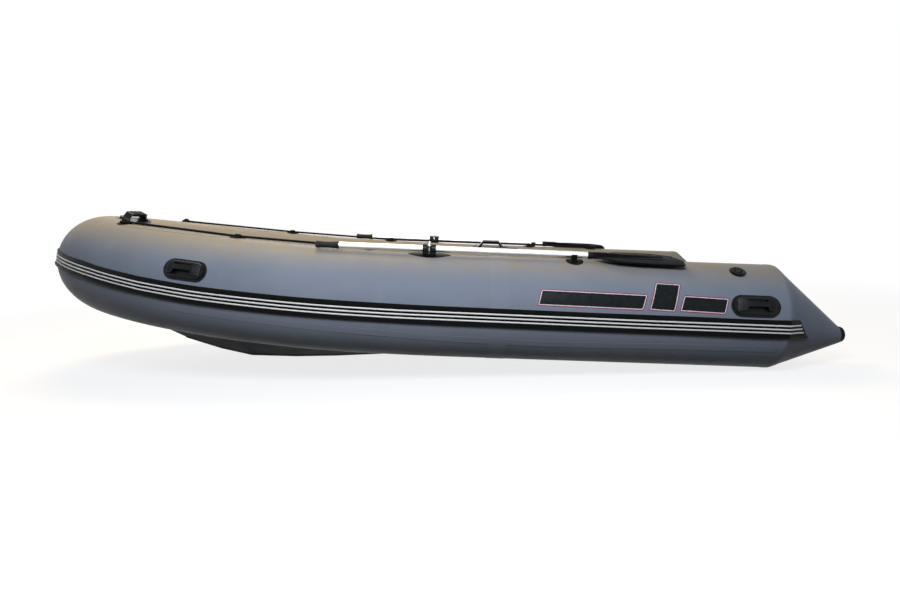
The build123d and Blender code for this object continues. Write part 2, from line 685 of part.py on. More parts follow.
def hanging_ring():
    """Lug of a towing ring, with the ring hanging from it."""
    lug = fillet(Box(40, 22, 44).edges().filter_by(Axis.Z), 8)
    return lug + Pos(0, RING_R - 3, 14) * Torus(RING_R, RING_WIRE_R)


def bow_ring():
    """Towing ring low on the nose."""
    return nose_fitting(BOW_RING_ANGLE, Circle(62), hanging_ring())


def tow_rings():
    """Rings on the aft face of the transom, low beside the tubes."""
    solids = []
    for side in (PORT, STARBOARD):
        origin = (TRANSOM_X - TRANSOM_T - FIT, side * (TUBE_Y - TUBE_R - TOW_RING_GAP), 215)
        place = Plane(origin=origin, x_dir=(0, -1, 0), z_dir=(-1, 0, 0))
        plate = extrude(RectangleRounded(70, 44, 10), 4)
        lug = Pos(0, 0, 10) * Box(30, 16, 14)
        ring = Pos(0, 3 - RING_R, 12) * Torus(RING_R, RING_WIRE_R)
        solids.append((place * (plate + lug + ring)).solid())
    return Compound(children=solids)


def valve(x, angle):
    """Inflation valve: glued ring, and a cap with grip lugs in its well."""
    ring = extrude(Circle(VALVE_D / 2), 7) - Pos(0, 0, 4) * extrude(Circle(VALVE_D / 2 - 7), 5)
    cap = chamfer(extrude(Circle(VALVE_D / 2 - 11), 9).edges().group_by(Axis.Z)[-1], 1.5)
    lugs = [Rot(0, 0, 60 * i) * Pos(15, 0, 9.5) * Box(7, 5, 5) for i in range(6)]
    ring = Pos(0, 0, -4) * extrude(Circle(VALVE_D / 2), 6) + ring
    return fitting(x, angle, Circle(VALVE_D / 2 + 8), ring + cap + lugs)


def valves():
    port, bow = [valve(*place) for place in VALVE_PLACES]
    return Compound(children=[port, mirror(port, about=Plane.XZ).solid(), bow])


# ---------------------------------------------------------------- lifelines
ANCHOR_PLACE = on_tube(ANCHOR_X, ANCHOR_ANGLE)


def rope_path():
    """Axis of the port lifeline: straight aft, then from holder to holder, and round its anchor's side."""
    places = [on_tube(x, -ROPE_ANGLE, ROPE_LIFT) for x in (ROPE_AFT_X,) + HOLDER_X[2:]]
    end = ANCHOR_PLACE.from_local_coords((-EYE_R, 0, ROPE_LIFT))
    return smooth_path([place.origin for place in places] + [end], ROPE_BEND)


def lifeline():
    """Port lifeline along the crest, with a stopper knot aft and an eye round its anchor."""
    path = rope_path()
    start = section_at(path @ 0, path % 0)
    rope = sweep(start * Circle(ROPE_D / 2), path=path)
    knot = fillet(Cylinder(KNOT_R, 36).edges().filter_by(GeomType.CIRCLE), 6)
    eye = ANCHOR_PLACE * (Pos(0, 0, ROPE_LIFT) * Torus(EYE_R, EYE_HALF_T))
    return rope + eye + start * Pos(0, KNOT_R + 1 - ROPE_LIFT, 28) * knot


def rope_holder(x):
    """Domed rubber boss with a bore for the lifeline."""
    dome = Cone(HOLDER_R, HOLDER_R - 6, HOLDER_H, align=(Align.CENTER, Align.CENTER, Align.MIN))
    dome = fillet(dome.edges().group_by(Axis.Z)[-1], 7)
    body = dome + Pos(0, 0, -5) * extrude(Circle(HOLDER_R), 6)
    path = rope_path()
    bore = sweep(section_at(path @ 0, path % 0) * Circle(ROPE_D / 2 + ROPE_BORE), path=path)
    return (fitting(x, -ROPE_ANGLE, Circle(39), body) - bore).solid()


def anchor():
    """Button with a wide head that the eye of the lifeline lies round."""
    neck, top = EYE_R - EYE_HALF_T - FIT, ROPE_LIFT + EYE_HALF_T + FIT
    body = Pos(0, 0, -5) * extrude(Circle(neck), 5 + top)
    head = Pos(0, 0, top) * Cone(neck + 4, neck - 3, 9, align=(Align.CENTER, Align.CENTER, Align.MIN))
    return fitting(ANCHOR_X, ANCHOR_ANGLE, Circle(39), body + head)


def rope_holders():
    """Holders along the crest and the foremost buttons."""
    return both_sides(Compound(children=[rope_holder(x) for x in HOLDER_X] + [anchor()]))


# ---------------------------------------------------------------- oars
def oar_place():
    """Place of the port rowlock on the tube, its X axis along the stowed oar."""
    section = section_at(port_section(ROWLOCK_X).origin, Vector(1, 0, SHEER_SLOPE).normalized())
    out = section.x_dir * sin(radians(OAR_ANGLE)) + section.y_dir * cos(radians(OAR_ANGLE))
    place = Plane(origin=section.origin + out * TUBE_R, x_dir=section.z_dir, z_dir=out)
    return place * Rot(0, -OAR_TILT, 0)


OAR_PLACE = oar_place()


def lens(length, width):
    """Outline of two arcs that meet in points."""
    upper = ThreePointArc((-length / 2, 0), (0, width / 2), (length / 2, 0))
    lower = ThreePointArc((length / 2, 0), (0, -width / 2), (-length / 2, 0))
    return make_face([upper, lower])


def rowlock_base():
    """Glued base with the socket that the yoke's pin turns in."""
    stand = (Align.CENTER, Align.CENTER, Align.MIN)
    boss = Pos(0, 0, -6) * Cylinder(38, 6 + SWIVEL_Z / 2, align=stand)
    boss += Cone(38, SWIVEL_D / 2 + 3, SWIVEL_Z, align=stand)
    socket = Pos(0, 0, PIN_FLOOR) * Cylinder(PIN_D / 2 + FIT, 60, align=stand)
    solid = fitting(ROWLOCK_X, OAR_ANGLE, lens(206, 80), boss)
    return (solid - OAR_PLACE * socket).solid()


def along_oar(x, shape):
    """Shape built on the Z axis, laid on the oar's axis at X, its Z axis pointing forward."""
    return Pos(x, 0, OAR_H) * Rot(0, 90, 0) * shape


def oar_yoke():
    """Swivelling clamp: disc and pin below, and two lugs round the shaft."""
    base = SWIVEL_Z + FIT
    stand = (Align.CENTER, Align.CENTER, Align.MIN)
    pin = Pos(0, 0, PIN_FLOOR + FIT) * Cylinder(PIN_D / 2, base, align=stand)
    disc = Pos(0, 0, base) * Cylinder(SWIVEL_D / 2, DISC_T, align=stand)
    stem = Pos(0, 0, base + 2) * Box(62, 2 * LUG_R - 6, OAR_H - base - 2, align=stand)
    lug = chamfer(Cylinder(LUG_R, 22).edges().filter_by(GeomType.CIRCLE), 2)
    lugs = along_oar(-21, lug) + along_oar(21, lug) + along_oar(0, Cylinder(LUG_R - 4, 40))
    bore = along_oar(0, Cylinder(SHAFT_D / 2 + FIT / 2, 200))
    below = Pos(0, 0, base) * Box(200, 200, 100, align=(Align.CENTER, Align.CENTER, Align.MAX))
    return OAR_PLACE * (pin + disc + (stem + lugs - below) - bore)


def keeper_base():
    """Glued foot under the clip that keeps the stowed oar."""
    axis_h = OAR_H - (ROWLOCK_X - KEEPER_X) * sin(radians(OAR_TILT))
    top = axis_h - SHAFT_D / 2 - STRAP_T - 2 * FIT
    foot = Pos(0, 0, -8) * Box(KEEPER_W, 30, 8 + top, align=(Align.CENTER, Align.CENTER, Align.MIN))
    return fitting(KEEPER_X, OAR_ANGLE + 4, Circle(42), foot)


def keeper_strap():
    """Rubber clip under the shaft, open above, with its tab outboard. It stays on the oar."""
    inner, outer = SHAFT_D / 2 + FIT, SHAFT_D / 2 + STRAP_T
    clip = Cylinder(outer, KEEPER_W) + Pos(8, outer - 2, 0) * Box(24, STRAP_T, KEEPER_W - 4)
    opening = Pos(-4, 0, 0) * Box(80, 80, 80, align=(Align.MAX, Align.CENTER, Align.CENTER))
    return OAR_PLACE * along_oar(KEEPER_X - ROWLOCK_X, clip - Cylinder(inner, 60) - opening)


def oar_shaft():
    start, end = OAR_NECK_X, OAR_GRIP_X - GRIP_L
    return OAR_PLACE * along_oar((start + end) / 2, Cylinder(SHAFT_D / 2, end - start))


def oar_grip():
    """Rubber grip: collar, waisted barrel and rounded knob."""
    collar, barrel, knob = GRIP_D / 2 + 1.5, GRIP_D / 2, GRIP_D / 2 + 0.5
    neck = Polyline((0, 0), (collar, 0), (collar, 8), (barrel, 12))
    waist = ThreePointArc((barrel, 12), (barrel - 2, GRIP_L * 0.5), (knob, GRIP_L - 10))
    end = RadiusArc((knob, GRIP_L - 10), (knob - 10, GRIP_L), -10)
    profile = make_face([neck, waist, end, Polyline((knob - 10, GRIP_L), (0, GRIP_L), (0, 0))])
    return OAR_PLACE * along_oar(OAR_GRIP_X - GRIP_L, revolve(Plane.XZ * profile, axis=Axis.Z))


def oar_blade():
    """Cambered blade: round socket, tapering spine and a plate with its inboard corner cut back."""
    camber, plate_t = 420.0, 4.0
    shoulder, cut, corner = 110.0, 140.0, 12.0
    outline = Polyline((-FIT, -20), (-shoulder, -BLADE_IN), (cut - BLADE_L, -BLADE_IN),
                       (30 - BLADE_L, -corner), (-BLADE_L, BLADE_OUT / 2), (-BLADE_L, BLADE_OUT - corner),
                       (corner - BLADE_L, BLADE_OUT), (-2 * shoulder, BLADE_OUT - 4),
                       (-shoulder, BLADE_OUT - 14), (-40, BLADE_OUT - 40), (-FIT, 20), close=True)
    shell = extrude(Circle(camber) - Circle(camber - plate_t), BLADE_L + 60)
    shell = Pos(-BLADE_L - 40, 0, 2 - camber) * Rot(0, 90, 0) * shell
    plate = Pos(OAR_NECK_X, 0, OAR_H) * (extrude(make_face(outline), 40, both=True) & shell)
    socket = along_oar(OAR_NECK_X - 35 - FIT, Cylinder(SHAFT_D / 2 + 1.5, 70))
    spine = loft([along_oar(OAR_NECK_X - 60, Circle(SHAFT_D / 2)),
                  along_oar(OAR_NECK_X - BLADE_L + 90, Circle(4))])
    return OAR_PLACE * (plate + socket + spine)


os.makedirs("parts", exist_ok=True)
save("bow_tube", bow_tube(TUBE_R))
save("port_side_tube", side_tube(TUBE_R))
save("starboard_side_tube", mirror(side_tube(TUBE_R), about=Plane.XZ))
save("cone_caps", both_sides(cone_cap()))
save("rub_strake", Compound(children=strake(strake_profile)))
save("strake_stripes", strake_stripes())
save("hull_bottom", hull_bottom())
save("keel_guard", keel_guard())
for index, name in enumerate(("aft_floorboard", "middle_floorboard", "forward_floorboard")):
    save(name, floorboard(index))
save("bow_floorboard", bow_floorboard())
save("floor_joiners", Compound(children=[floor_joiner(i).solid() for i in (1, 2, 3)]))
save("stringers", both_sides(stringer()))
save("transom_board", transom_board())
save("transom_plates", transom_plates())
save("transom_cuffs", transom_cuffs())
save("drain_plug", drain_plug())
for name, x in SEAT_STATIONS.items():
    save(name, seat(x))
save("seat_rails", seat_rails())
save("side_handles", side_handles())
save("inner_handles", both_sides(inner_handle()))
save("bow_handle", bow_handle())
save("bow_ring", bow_ring())
save("tow_rings", tow_rings())
save("valves", valves())
line = lifeline()
save("port_lifeline", line)
save("starboard_lifeline", mirror(line, about=Plane.XZ))
save("rope_holders", rope_holders())
save("rowlock_bases", both_sides(rowlock_base()))
save("oar_clips", both_sides(keeper_base()))
for name, shape in (("oar_yoke", oar_yoke()), ("oar_shaft", oar_shaft()), ("oar_grip", oar_grip()),
                    ("oar_blade", oar_blade()), ("oar_strap", keeper_strap())):
    save(f"port_{name}", shape)
    save(f"starboard_{name}", mirror(shape, about=Plane.XZ))
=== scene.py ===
# %% [markdown]
# # An inflatable boat: finishes and fine pieces around a fixed CAD frame
#
# The hull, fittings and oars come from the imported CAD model, whose shapes and places are final.
# This lesson gives each of them its real finish and adds what CAD leaves out: seam tapes, blank
# side plates, bolts, edge trims and sleeves. The strake's ribs and the lifelines are made anew.
# Everything is in metres, with the bow towards +X and the port side towards +Y.

# %% Load the frame
import json
from math import asin, cos, degrees, pi, radians, sin, sqrt

import bmesh
import bpy
from mathutils import Matrix, Vector
from mathutils.bvhtree import BVHTree


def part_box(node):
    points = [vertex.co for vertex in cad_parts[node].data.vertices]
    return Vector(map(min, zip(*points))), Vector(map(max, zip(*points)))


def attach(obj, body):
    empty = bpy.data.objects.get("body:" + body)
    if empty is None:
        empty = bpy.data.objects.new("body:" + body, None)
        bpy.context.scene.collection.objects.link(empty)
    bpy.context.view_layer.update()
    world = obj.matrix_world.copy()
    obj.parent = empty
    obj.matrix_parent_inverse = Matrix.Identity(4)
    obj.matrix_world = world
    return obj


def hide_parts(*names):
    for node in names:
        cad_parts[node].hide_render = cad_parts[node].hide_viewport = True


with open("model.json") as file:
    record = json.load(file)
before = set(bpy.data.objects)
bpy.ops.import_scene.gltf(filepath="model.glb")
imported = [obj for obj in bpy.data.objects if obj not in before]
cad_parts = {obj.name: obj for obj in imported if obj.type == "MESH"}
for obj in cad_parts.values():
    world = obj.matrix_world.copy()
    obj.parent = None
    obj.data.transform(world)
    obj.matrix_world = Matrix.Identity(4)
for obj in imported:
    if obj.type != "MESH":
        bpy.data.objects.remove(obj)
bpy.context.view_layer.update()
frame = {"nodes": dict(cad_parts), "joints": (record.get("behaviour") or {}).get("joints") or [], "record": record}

MM = 0.001
SIDES = ((1, "port"), (-1, "starboard"))
AHEAD, TO_PORT, UP = Vector((1, 0, 0)), Vector((0, 1, 0)), Vector((0, 0, 1))
nodes = frame["nodes"]


def show(name, data):
    """Object of some data, linked to the scene."""
    made = bpy.data.objects.new(name, data)
    bpy.context.scene.collection.objects.link(made)
    return made


def axes_at(place, *axes):
    """Matrix at a place with three directions as its columns."""
    return Matrix.Translation(place) @ Matrix(axes).transposed().to_4x4()


# %% [markdown]
# ## Camera, floor and light
#
# The boat is seen from its port side, from four metres away and the eye height of someone who
# kneels. A camera needs only a place and three directions: right, up and backward. A little roll
# lets the boat sit with its stern low, as it does afloat.

# %% The camera
CAMERA_PLACE = Vector((-0.1242, 4.0743, 0.790))
PITCH, YAW, ROLL = radians(-6.71), radians(0.19), radians(2.1)
LENS = 27.45

forward = Vector((sin(-YAW) * cos(PITCH), -cos(YAW) * cos(PITCH), sin(PITCH)))
level_right = forward.cross(UP).normalized()
level_up = level_right.cross(forward)
right = level_right * cos(ROLL) - level_up * sin(ROLL)
up = right.cross(forward)

camera = show("camera", bpy.data.cameras.new("camera"))
camera.matrix_world = axes_at(CAMERA_PLACE, right, up, -forward)
camera.data.lens = LENS
bpy.context.scene.camera = camera
print("camera looks along", [round(v, 4) for v in forward])

# %% [markdown]
# Materials are trees of nodes. One helper adds a node: a name is looked up among its input sockets
# first, then among its own settings, and a value that is another node, or an output of one, is
# linked. Colours are written in hex, as they look on a screen, and turned to the linear values
# that a shader counts in.

# %% Helpers for materials
def linear(hex_colour):
    """sRGB hex text to linear RGBA."""
    parts = [int(hex_colour[i:i + 2], 16) / 255 for i in (1, 3, 5)]
    return [p / 12.92 if p <= 0.04045 else ((p + 0.055) / 1.055) ** 2.4 for p in parts] + [1.0]


def add(tree, kind, settings=None):
    """One shader node with its values and links; a node as a value stands for its first output."""
    made = tree.nodes.new("ShaderNode" + kind)
    for name, value in (settings or {}).items():
        if isinstance(value, str) and value.startswith("#"):
            value = linear(value)
        if isinstance(value, bpy.types.Node):
            value = value.outputs[0]
        if isinstance(value, bpy.types.NodeSocket):
            tree.links.new(value, made.inputs[name])
        elif isinstance(name, int) or name in made.inputs:
            made.inputs[name].default_value = value
        else:
            setattr(made, name, value)
    return made


def new_material(name, settings):
    """A material with one Principled shader; returns both, with its tree and coordinates."""
    material = bpy.data.materials.new(name)
    material.use_nodes = True
    tree = material.node_tree
    tree.nodes.clear()
    shader = add(tree, "BsdfPrincipled", settings)
    add(tree, "OutputMaterial", {"Surface": shader})
    return material, tree, shader, add(tree, "TexCoord").outputs


def feed(tree, shader, colour, roughness=None):
    """Links sockets to a shader's colour and roughness."""
    tree.links.new(colour, shader.inputs["Base Color"])
    if roughness:
        tree.links.new(roughness, shader.inputs["Roughness"])


# %% [markdown]
# The floor is a large pale sheet that keeps the boat's soft shadow. What the camera and the mirror
# rays see of it is part glow, part lit paint: the glow hides where the floor ends, and the paint
# keeps the shadow. The other rays meet a darker, warmer paint, so that the floor throws only a
# little light up under the tubes.

# %% Floor and world
FLOOR_HALF = 14.0
FLOOR_DROP_MM = 2
FADE_START, FADE_END = 2.4, 5.5       # metres from the boat's middle
SHADOW_SHARE = 0.31        # how much of the floor's look is lit paint, near the boat
FLOOR_GLOW = 0.80


def seen_directly(tree):
    """1 for rays that show a surface, even in a mirror or through glass, and 0 for the rest."""
    path = add(tree, "LightPath")
    seen = path.outputs["Is Camera Ray"]
    for kind in ("Is Glossy Ray", "Is Transmission Ray"):
        seen = add(tree, "Math", {"operation": "MAXIMUM", 0: seen, 1: path.outputs[kind]})
    return seen


floor_material, tree, shader, coords = new_material(
    "pale_floor_paint", {"Roughness": 0.9, "Specular IOR Level": 0.1})
seen = seen_directly(tree)
shade = add(tree, "Mix", {"data_type": "RGBA", 0: seen, 6: "#5a5248", 7: "#fafafa"})
feed(tree, shader, shade.outputs[2])
far = add(tree, "VectorMath", {"operation": "LENGTH", 0: coords["Object"]})
fade, paint = [add(tree, "MapRange", {"Value": far.outputs["Value"], "From Min": FADE_START,
                                      "From Max": FADE_END, "To Min": near, "To Max": away})
               for near, away in ((FLOOR_GLOW, 1.0), (SHADOW_SHARE, 0.0))]
dark = add(tree, "BsdfDiffuse", {"Color": "#000000"})
painted = add(tree, "MixShader", {0: paint, 1: dark, 2: shader})
glow = add(tree, "Emission", {"Color": "#ffffff", "Strength": fade})
both = add(tree, "AddShader", {0: painted, 1: glow})
chosen = add(tree, "MixShader", {0: seen, 1: shader, 2: both})
output = next(n for n in tree.nodes if n.type == "OUTPUT_MATERIAL")
tree.links.new(chosen.outputs[0], output.inputs["Surface"])

mesh = bpy.data.meshes.new("floor")
bm = bmesh.new()
bmesh.ops.create_grid(bm, x_segments=1, y_segments=1, size=FLOOR_HALF)
bm.to_mesh(mesh)
bm.free()
floor = show("floor", mesh)
floor.location.z = -FLOOR_DROP_MM * MM
mesh.materials.append(floor_material)

world = bpy.data.worlds.new("studio")
bpy.context.scene.world = world
world.use_nodes = True
tree = world.node_tree
tree.nodes.clear()
soft = add(tree, "Background", {"Color": "#c3cfdc", "Strength": 0.14})
white = add(tree, "Background", {"Color": "#ffffff", "Strength": 1.0})
both = add(tree, "MixShader", {0: seen_directly(tree), 1: soft, 2: white})
add(tree, "OutputWorld", {"Surface": both})
bpy.context.scene.view_settings.view_transform = "Standard"
print("floor of", 2 * FLOOR_HALF, "m and a white world")


# %% [markdown]
# Coated fabric shows its roundness by broad, soft changes of tone, so the lamps are large soft
# boxes: a warm one over the bow, which tints the crests, a nearly white one close on the camera's
# side, whose light falls off towards bow and stern, and a wide one behind.

# %% Lamps
def soft_box(name, place, target, size, watts, colour):
    data = bpy.data.lights.new(name, "AREA")
    data.shape, data.size, data.size_y = "RECTANGLE", size[0], size[1]
    data.energy, data.color = watts, linear(colour)[:3]
    lamp = show(name, data)
    lamp.location = place
    aim = Vector(target) - Vector(place)
    lamp.rotation_mode = "QUATERNION"
    lamp.rotation_quaternion = aim.to_track_quat("-Z", "Y")


soft_box("overhead_box", (1.1, -0.7, 3.6), (0.9, 0, 0.4), (2.4, 1.5), 110, "#ffe2ae")
soft_box("side_box", (0.05, 3.4, 2.35), (0.0, 0.5, 0.4), (1.8, 1.1), 108, "#eaeffc")
soft_box("back_box", (0.2, -5.0, 2.6), (0, 0, 0.4), (5.0, 1.6), 110, "#f6f4f2")


# %% [markdown]
# ## Finishes
#
# Mottle is soft noise of a real size, and patchy lets one colour drift to another by it. A ripple
# is a wave of a real length. Grain turns any height into a bump, without moving the surface.

# %% Helpers for finishes
def mottle(tree, coords, size_mm, detail, low, high):
    """Soft noise of about a size, as a grey between two values."""
    noise = add(tree, "TexNoise", {"Scale": 1 / (size_mm * MM), "Detail": detail, "Vector": coords["Object"]})
    return add(tree, "MapRange", {"Value": noise, "From Min": 0.3, "From Max": 0.7, "To Min": low,
                                  "To Max": high}).outputs[0]


def patchy(tree, coords, first, second, size_mm, detail, low=0.0, high=1.0):
    """The first colour, with patches of the second; its share is clamped to 0 and 1."""
    share = mottle(tree, coords, size_mm, detail, low, high)
    return add(tree, "Mix", {"data_type": "RGBA", 0: share, 6: first, 7: second}).outputs[2]


def ripple(tree, way, length_mm):
    """Sine wave of a real length along a coordinate."""
    turn = add(tree, "Math", {"operation": "MULTIPLY", 0: way, 1: 2 * pi / (length_mm * MM)})
    return add(tree, "Math", {"operation": "SINE", 0: turn}).outputs[0]


def grain(tree, shader, height, strength, depth_mm):
    """Height socket to the shader's normal, over any bump already there."""
    bump = add(tree, "Bump", {"Strength": strength, "Distance": depth_mm * MM, "Height": height})
    if shader.inputs["Normal"].is_linked:
        tree.links.new(shader.inputs["Normal"].links[0].from_socket, bump.inputs["Normal"])
    tree.links.new(bump.outputs[0], shader.inputs["Normal"])


# %% [markdown]
# ** Coated fabric.** The tubes are polyester cloth between two calendered layers of PVC. Rollers
# leave it smooth and satin, with the cloth's threads showing through very faintly, and pressure
# stretches it tight. Its threads are a millimetre apart, which no camera sees from here, so the
# weave is drawn four times coarser and very shallow. What faces up is painted warmer and lighter in
# soft patches: painted warm light from above. Feet and sand leave soft paler rubs.

# %% Coated fabric
THREADS_MM = 4.0           # four times the real spacing, to show at all
FABRIC_GLOSS = 0.03
# Painted warm light from above: between these upward shares of the skin's normal, the colour drifts to a warm
# light one.
PAINTED_LIGHT_FROM, PAINTED_LIGHT_TO = 0.55, 0.97     # upward share of the skin's normal
RUBBED = 0.264             # the largest share of the rubbed colour


def coated_fabric(name, base, drift, painted_top_light, rubbed, roughness):
    """Fabric with its clean colour, what it drifts to, its colour of painted warm light on top, and its rubbed
    one.
    """
    material, tree, shader, coords = new_material(name, {"IOR": 1.5, "Specular IOR Level": FABRIC_GLOSS})
    tone = patchy(tree, coords, base, drift, 420, 3)
    # Painted warm light: faces that look up take the warm light colour, in soft patches.
    upward = add(tree, "VectorMath", {"operation": "DOT_PRODUCT", 0: coords["Normal"], 1: UP})
    top = add(tree, "MapRange", {"Value": upward.outputs["Value"], "From Min": PAINTED_LIGHT_FROM, "From Max": PAINTED_LIGHT_TO})
    painted_light_share = add(tree, "Math", {"operation": "MULTIPLY", 0: top, 1: mottle(tree, coords, 60, 6, 0.45, 0.8)})
    tone = add(tree, "Mix", {"data_type": "RGBA", 0: painted_light_share, 6: tone, 7: painted_top_light}).outputs[2]
    tone = patchy(tree, coords, tone, rubbed, 130, 8, -RUBBED, RUBBED)
    feed(tree, shader, tone, mottle(tree, coords, 90, 5, roughness - 0.04, roughness + 0.06))
    split = add(tree, "SeparateXYZ", {0: coords["Object"]})
    threads = [ripple(tree, split.outputs[axis], THREADS_MM) for axis in ("X", "Z")]
    weave = add(tree, "Math", {"operation": "ADD", 0: threads[0], 1: threads[1]})
    grain(tree, shader, weave, 0.05, 0.12)
    grain(tree, shader, mottle(tree, coords, 170, 2, 0, 1), 0.12, 2.0)
    return material


# The fourth colour of each fabric is painted warm light on what faces up.
fabric = coated_fabric("calendered_pvc_fabric", "#848c97", "#7d8590", "#968a74", "#8d939b", 0.42)
tape_fabric = coated_fabric("welded_pvc_seam_tape", "#868e99", "#7f8792", "#978b75", "#8f959d", 0.38)
bottom_fabric = coated_fabric("black_pvc_bottom_fabric", "#0b0b0c", "#0e0e0f", "#131210", "#19191a", 0.55)
print("fabric threads drawn every", THREADS_MM, "mm")


# %% [markdown]
# **Rubber and moulded plastic.** The strake is EPDM rubber pushed through a die, so it has faint
# lines and a satin skin. Patches and holders are pressed in a mould, with a spark-eroded grain.
# Handles, yokes, blades and valves are injection-moulded nylon: harder and glossier. Black ones
# go a little grey where hands, ropes and sand rub them.

# %% Rubber and plastic
def moulded(name, base, worn, roughness, grain_mm, strength, gloss):
    """Rubber or plastic with a pitted grain of a size, its colour worn in patches."""
    material, tree, shader, coords = new_material(name, {"IOR": 1.5, "Specular IOR Level": gloss})
    feed(tree, shader, patchy(tree, coords, base, worn, 28, 8, -0.9, 1.0),
         mottle(tree, coords, 45, 4, roughness - 0.06, roughness + 0.08))
    pits = add(tree, "TexVoronoi", {"Scale": 1 / (grain_mm * MM), "Vector": coords["Object"]})
    grain(tree, shader, pits.outputs["Distance"], strength, 0.15)
    return material


strake_rubber = moulded("extruded_epdm_rubber", "#090909", "#111111", 0.45, 1.5, 0.06, 0.06)
strake_white = moulded("white_extruded_pvc_rib", "#f2f1ec", "#e8e7e0", 0.36, 1.5, 0.04, 0.3)
pad_rubber = moulded("pressed_black_rubber", "#0b0b0b", "#151515", 0.55, 1.2, 0.12, 0.06)
nylon = moulded("injection_moulded_nylon", "#0c0e10", "#15181b", 0.34, 1.0, 0.1, 0.15)
blade_nylon = moulded("glass_filled_nylon", "#0b0c0e", "#15181b", 0.45, 2.2, 0.15, 0.04)
print("moulded finishes", [m.name for m in (strake_rubber, strake_white, pad_rubber, nylon, blade_nylon)])

# %% [markdown]
# The oar's grip is soft rubber with moulded rings that stop wet hands from sliding. The rings are
# a bump of their own: a wave along the oar.

# %% Ringed grip
OAR_PLACE = Vector(frame["joints"][0]["pos_m"])
OAR_UP = -Vector(frame["joints"][0]["axis"])
OAR_AHEAD = Vector((0.9969934, 0.0012667, 0.0774755))
RING_PITCH_MM = 7.0


def ringed_rubber(name, side):
    material, tree, shader, coords = new_material(
        name, {"IOR": 1.5, "Specular IOR Level": 0.3, "Roughness": 0.5})
    feed(tree, shader, patchy(tree, coords, "#101011", "#1f1f1f", 25, 6, -0.6, 1.1))
    ahead = (OAR_AHEAD.x, side * OAR_AHEAD.y, OAR_AHEAD.z)
    along = add(tree, "VectorMath", {"operation": "DOT_PRODUCT", 0: coords["Object"], 1: ahead})
    grain(tree, shader, ripple(tree, along.outputs["Value"], RING_PITCH_MM), 0.9, 0.9)
    return material


grips = {label: ringed_rubber(f"ringed_grip_rubber_{label}", side) for side, label in SIDES}
print("grip rings every", RING_PITCH_MM, "mm along the oar")


# %% [markdown]
# **Metals.** The oars' shafts, joiners and stringers are anodised aluminium: drawn or extruded, so
# they carry fine lines along their length under a clear, slightly milky skin. Rings and bolts are
# polished stainless steel. Metals take their look from what they mirror, so only their tint and
# roughness are set.

# %% Metals
def drawn_metal(name, tint, dull, roughness, stretch, line_mm):
    """Metal with fine lines along one direction of the boat."""
    material, tree, shader, coords = new_material(name, {"Metallic": 1.0})
    long_way = add(tree, "Mapping", {"Scale": stretch, "Vector": coords["Object"]})
    lines = add(tree, "TexNoise", {"Scale": 1 / (line_mm * MM), "Detail": 3, "Vector": long_way})
    gloss = add(tree, "MapRange", {"Value": lines, "To Min": roughness - 0.08, "To Max": roughness + 0.1})
    feed(tree, shader, patchy(tree, coords, tint, dull, 40, 6, -0.4, 0.9), gloss.outputs[0])
    grain(tree, shader, lines, 0.15, 0.1)
    return material


shaft_metal = drawn_metal("anodised_aluminium_tube", "#f1f2f3", "#dddfe1", 0.34, (0.02, 1, 1), 2.0)
section_metal = drawn_metal("anodised_aluminium_section", "#dcdde0", "#c6c8cb", 0.36, (1, 0.02, 1), 2.0)
stainless = drawn_metal("polished_stainless_steel", "#c9cbcd", "#b3b5b8", 0.2, (1, 1, 1), 8.0)
print("metals", [m.name for m in (shaft_metal, section_metal, stainless)])


# %% [markdown]
# **Film-faced plywood.** Floor, seats and transom are birch plywood under a brown phenolic film,
# pressed against a mesh that leaves it rough to the foot. Saws lay the veneers bare at the edges,
# where a coat of lacquer shows them as thin light and dark lines. A face and an edge are told
# apart by how far the surface turns from the board's own normal.

# %% Plywood
MESH_MM = 9.0              # the pressed mesh, about twice its real size
FACE_FROM = 0.8            # the least share of a face's normal along the board's own


def film_faced(name, board_normal, ply_mm, rough_face=True):
    """Plywood: film on its faces, lines of veneers of a thickness on its edges."""
    material, tree, shader, coords = new_material(name, {"IOR": 1.5, "Specular IOR Level": 0.4})
    normal = Vector(board_normal).normalized()
    turned, deep = [add(tree, "VectorMath", {"operation": "DOT_PRODUCT", 0: coords[what], 1: normal})
                    for what in ("Normal", "Object")]
    flat = add(tree, "Math", {"operation": "ABSOLUTE", 0: turned.outputs["Value"]})
    face = add(tree, "Math", {"operation": "GREATER_THAN", 0: flat, 1: FACE_FROM})
    film = patchy(tree, coords, "#2e2018", "#3d2c21", 160, 6)
    film = patchy(tree, coords, film, "#5a4a3d", 35, 8, -1.6, 0.9)
    plies = ripple(tree, deep.outputs["Value"], 2 * ply_mm)
    veneers = add(tree, "Mix", {"data_type": "RGBA", 0: plies, 6: "#8a6540", 7: "#5f4023"})
    veneers = patchy(tree, coords, veneers.outputs[2], "#a47c50", 3, 6, 0, 0.5)
    board = add(tree, "Mix", {"data_type": "RGBA", 0: face, 6: veneers, 7: film})
    feed(tree, shader, board.outputs[2], mottle(tree, coords, 70, 5, 0.36, 0.5))
    if rough_face:
        split = add(tree, "SeparateXYZ", {0: coords["Object"]})
        slants = [add(tree, "Math", {"operation": "MULTIPLY_ADD", 0: split.outputs["X"], 1: sign,
                                     2: split.outputs["Y"]}) for sign in (1, -1)]
        waves = [ripple(tree, slant, MESH_MM) for slant in slants]
        wires = add(tree, "Math", {"operation": "MAXIMUM", 0: waves[0], 1: waves[1]})
        only_face = add(tree, "Math", {"operation": "MULTIPLY", 0: wires, 1: face})
        grain(tree, shader, only_face, 0.5, 0.5)
    return material


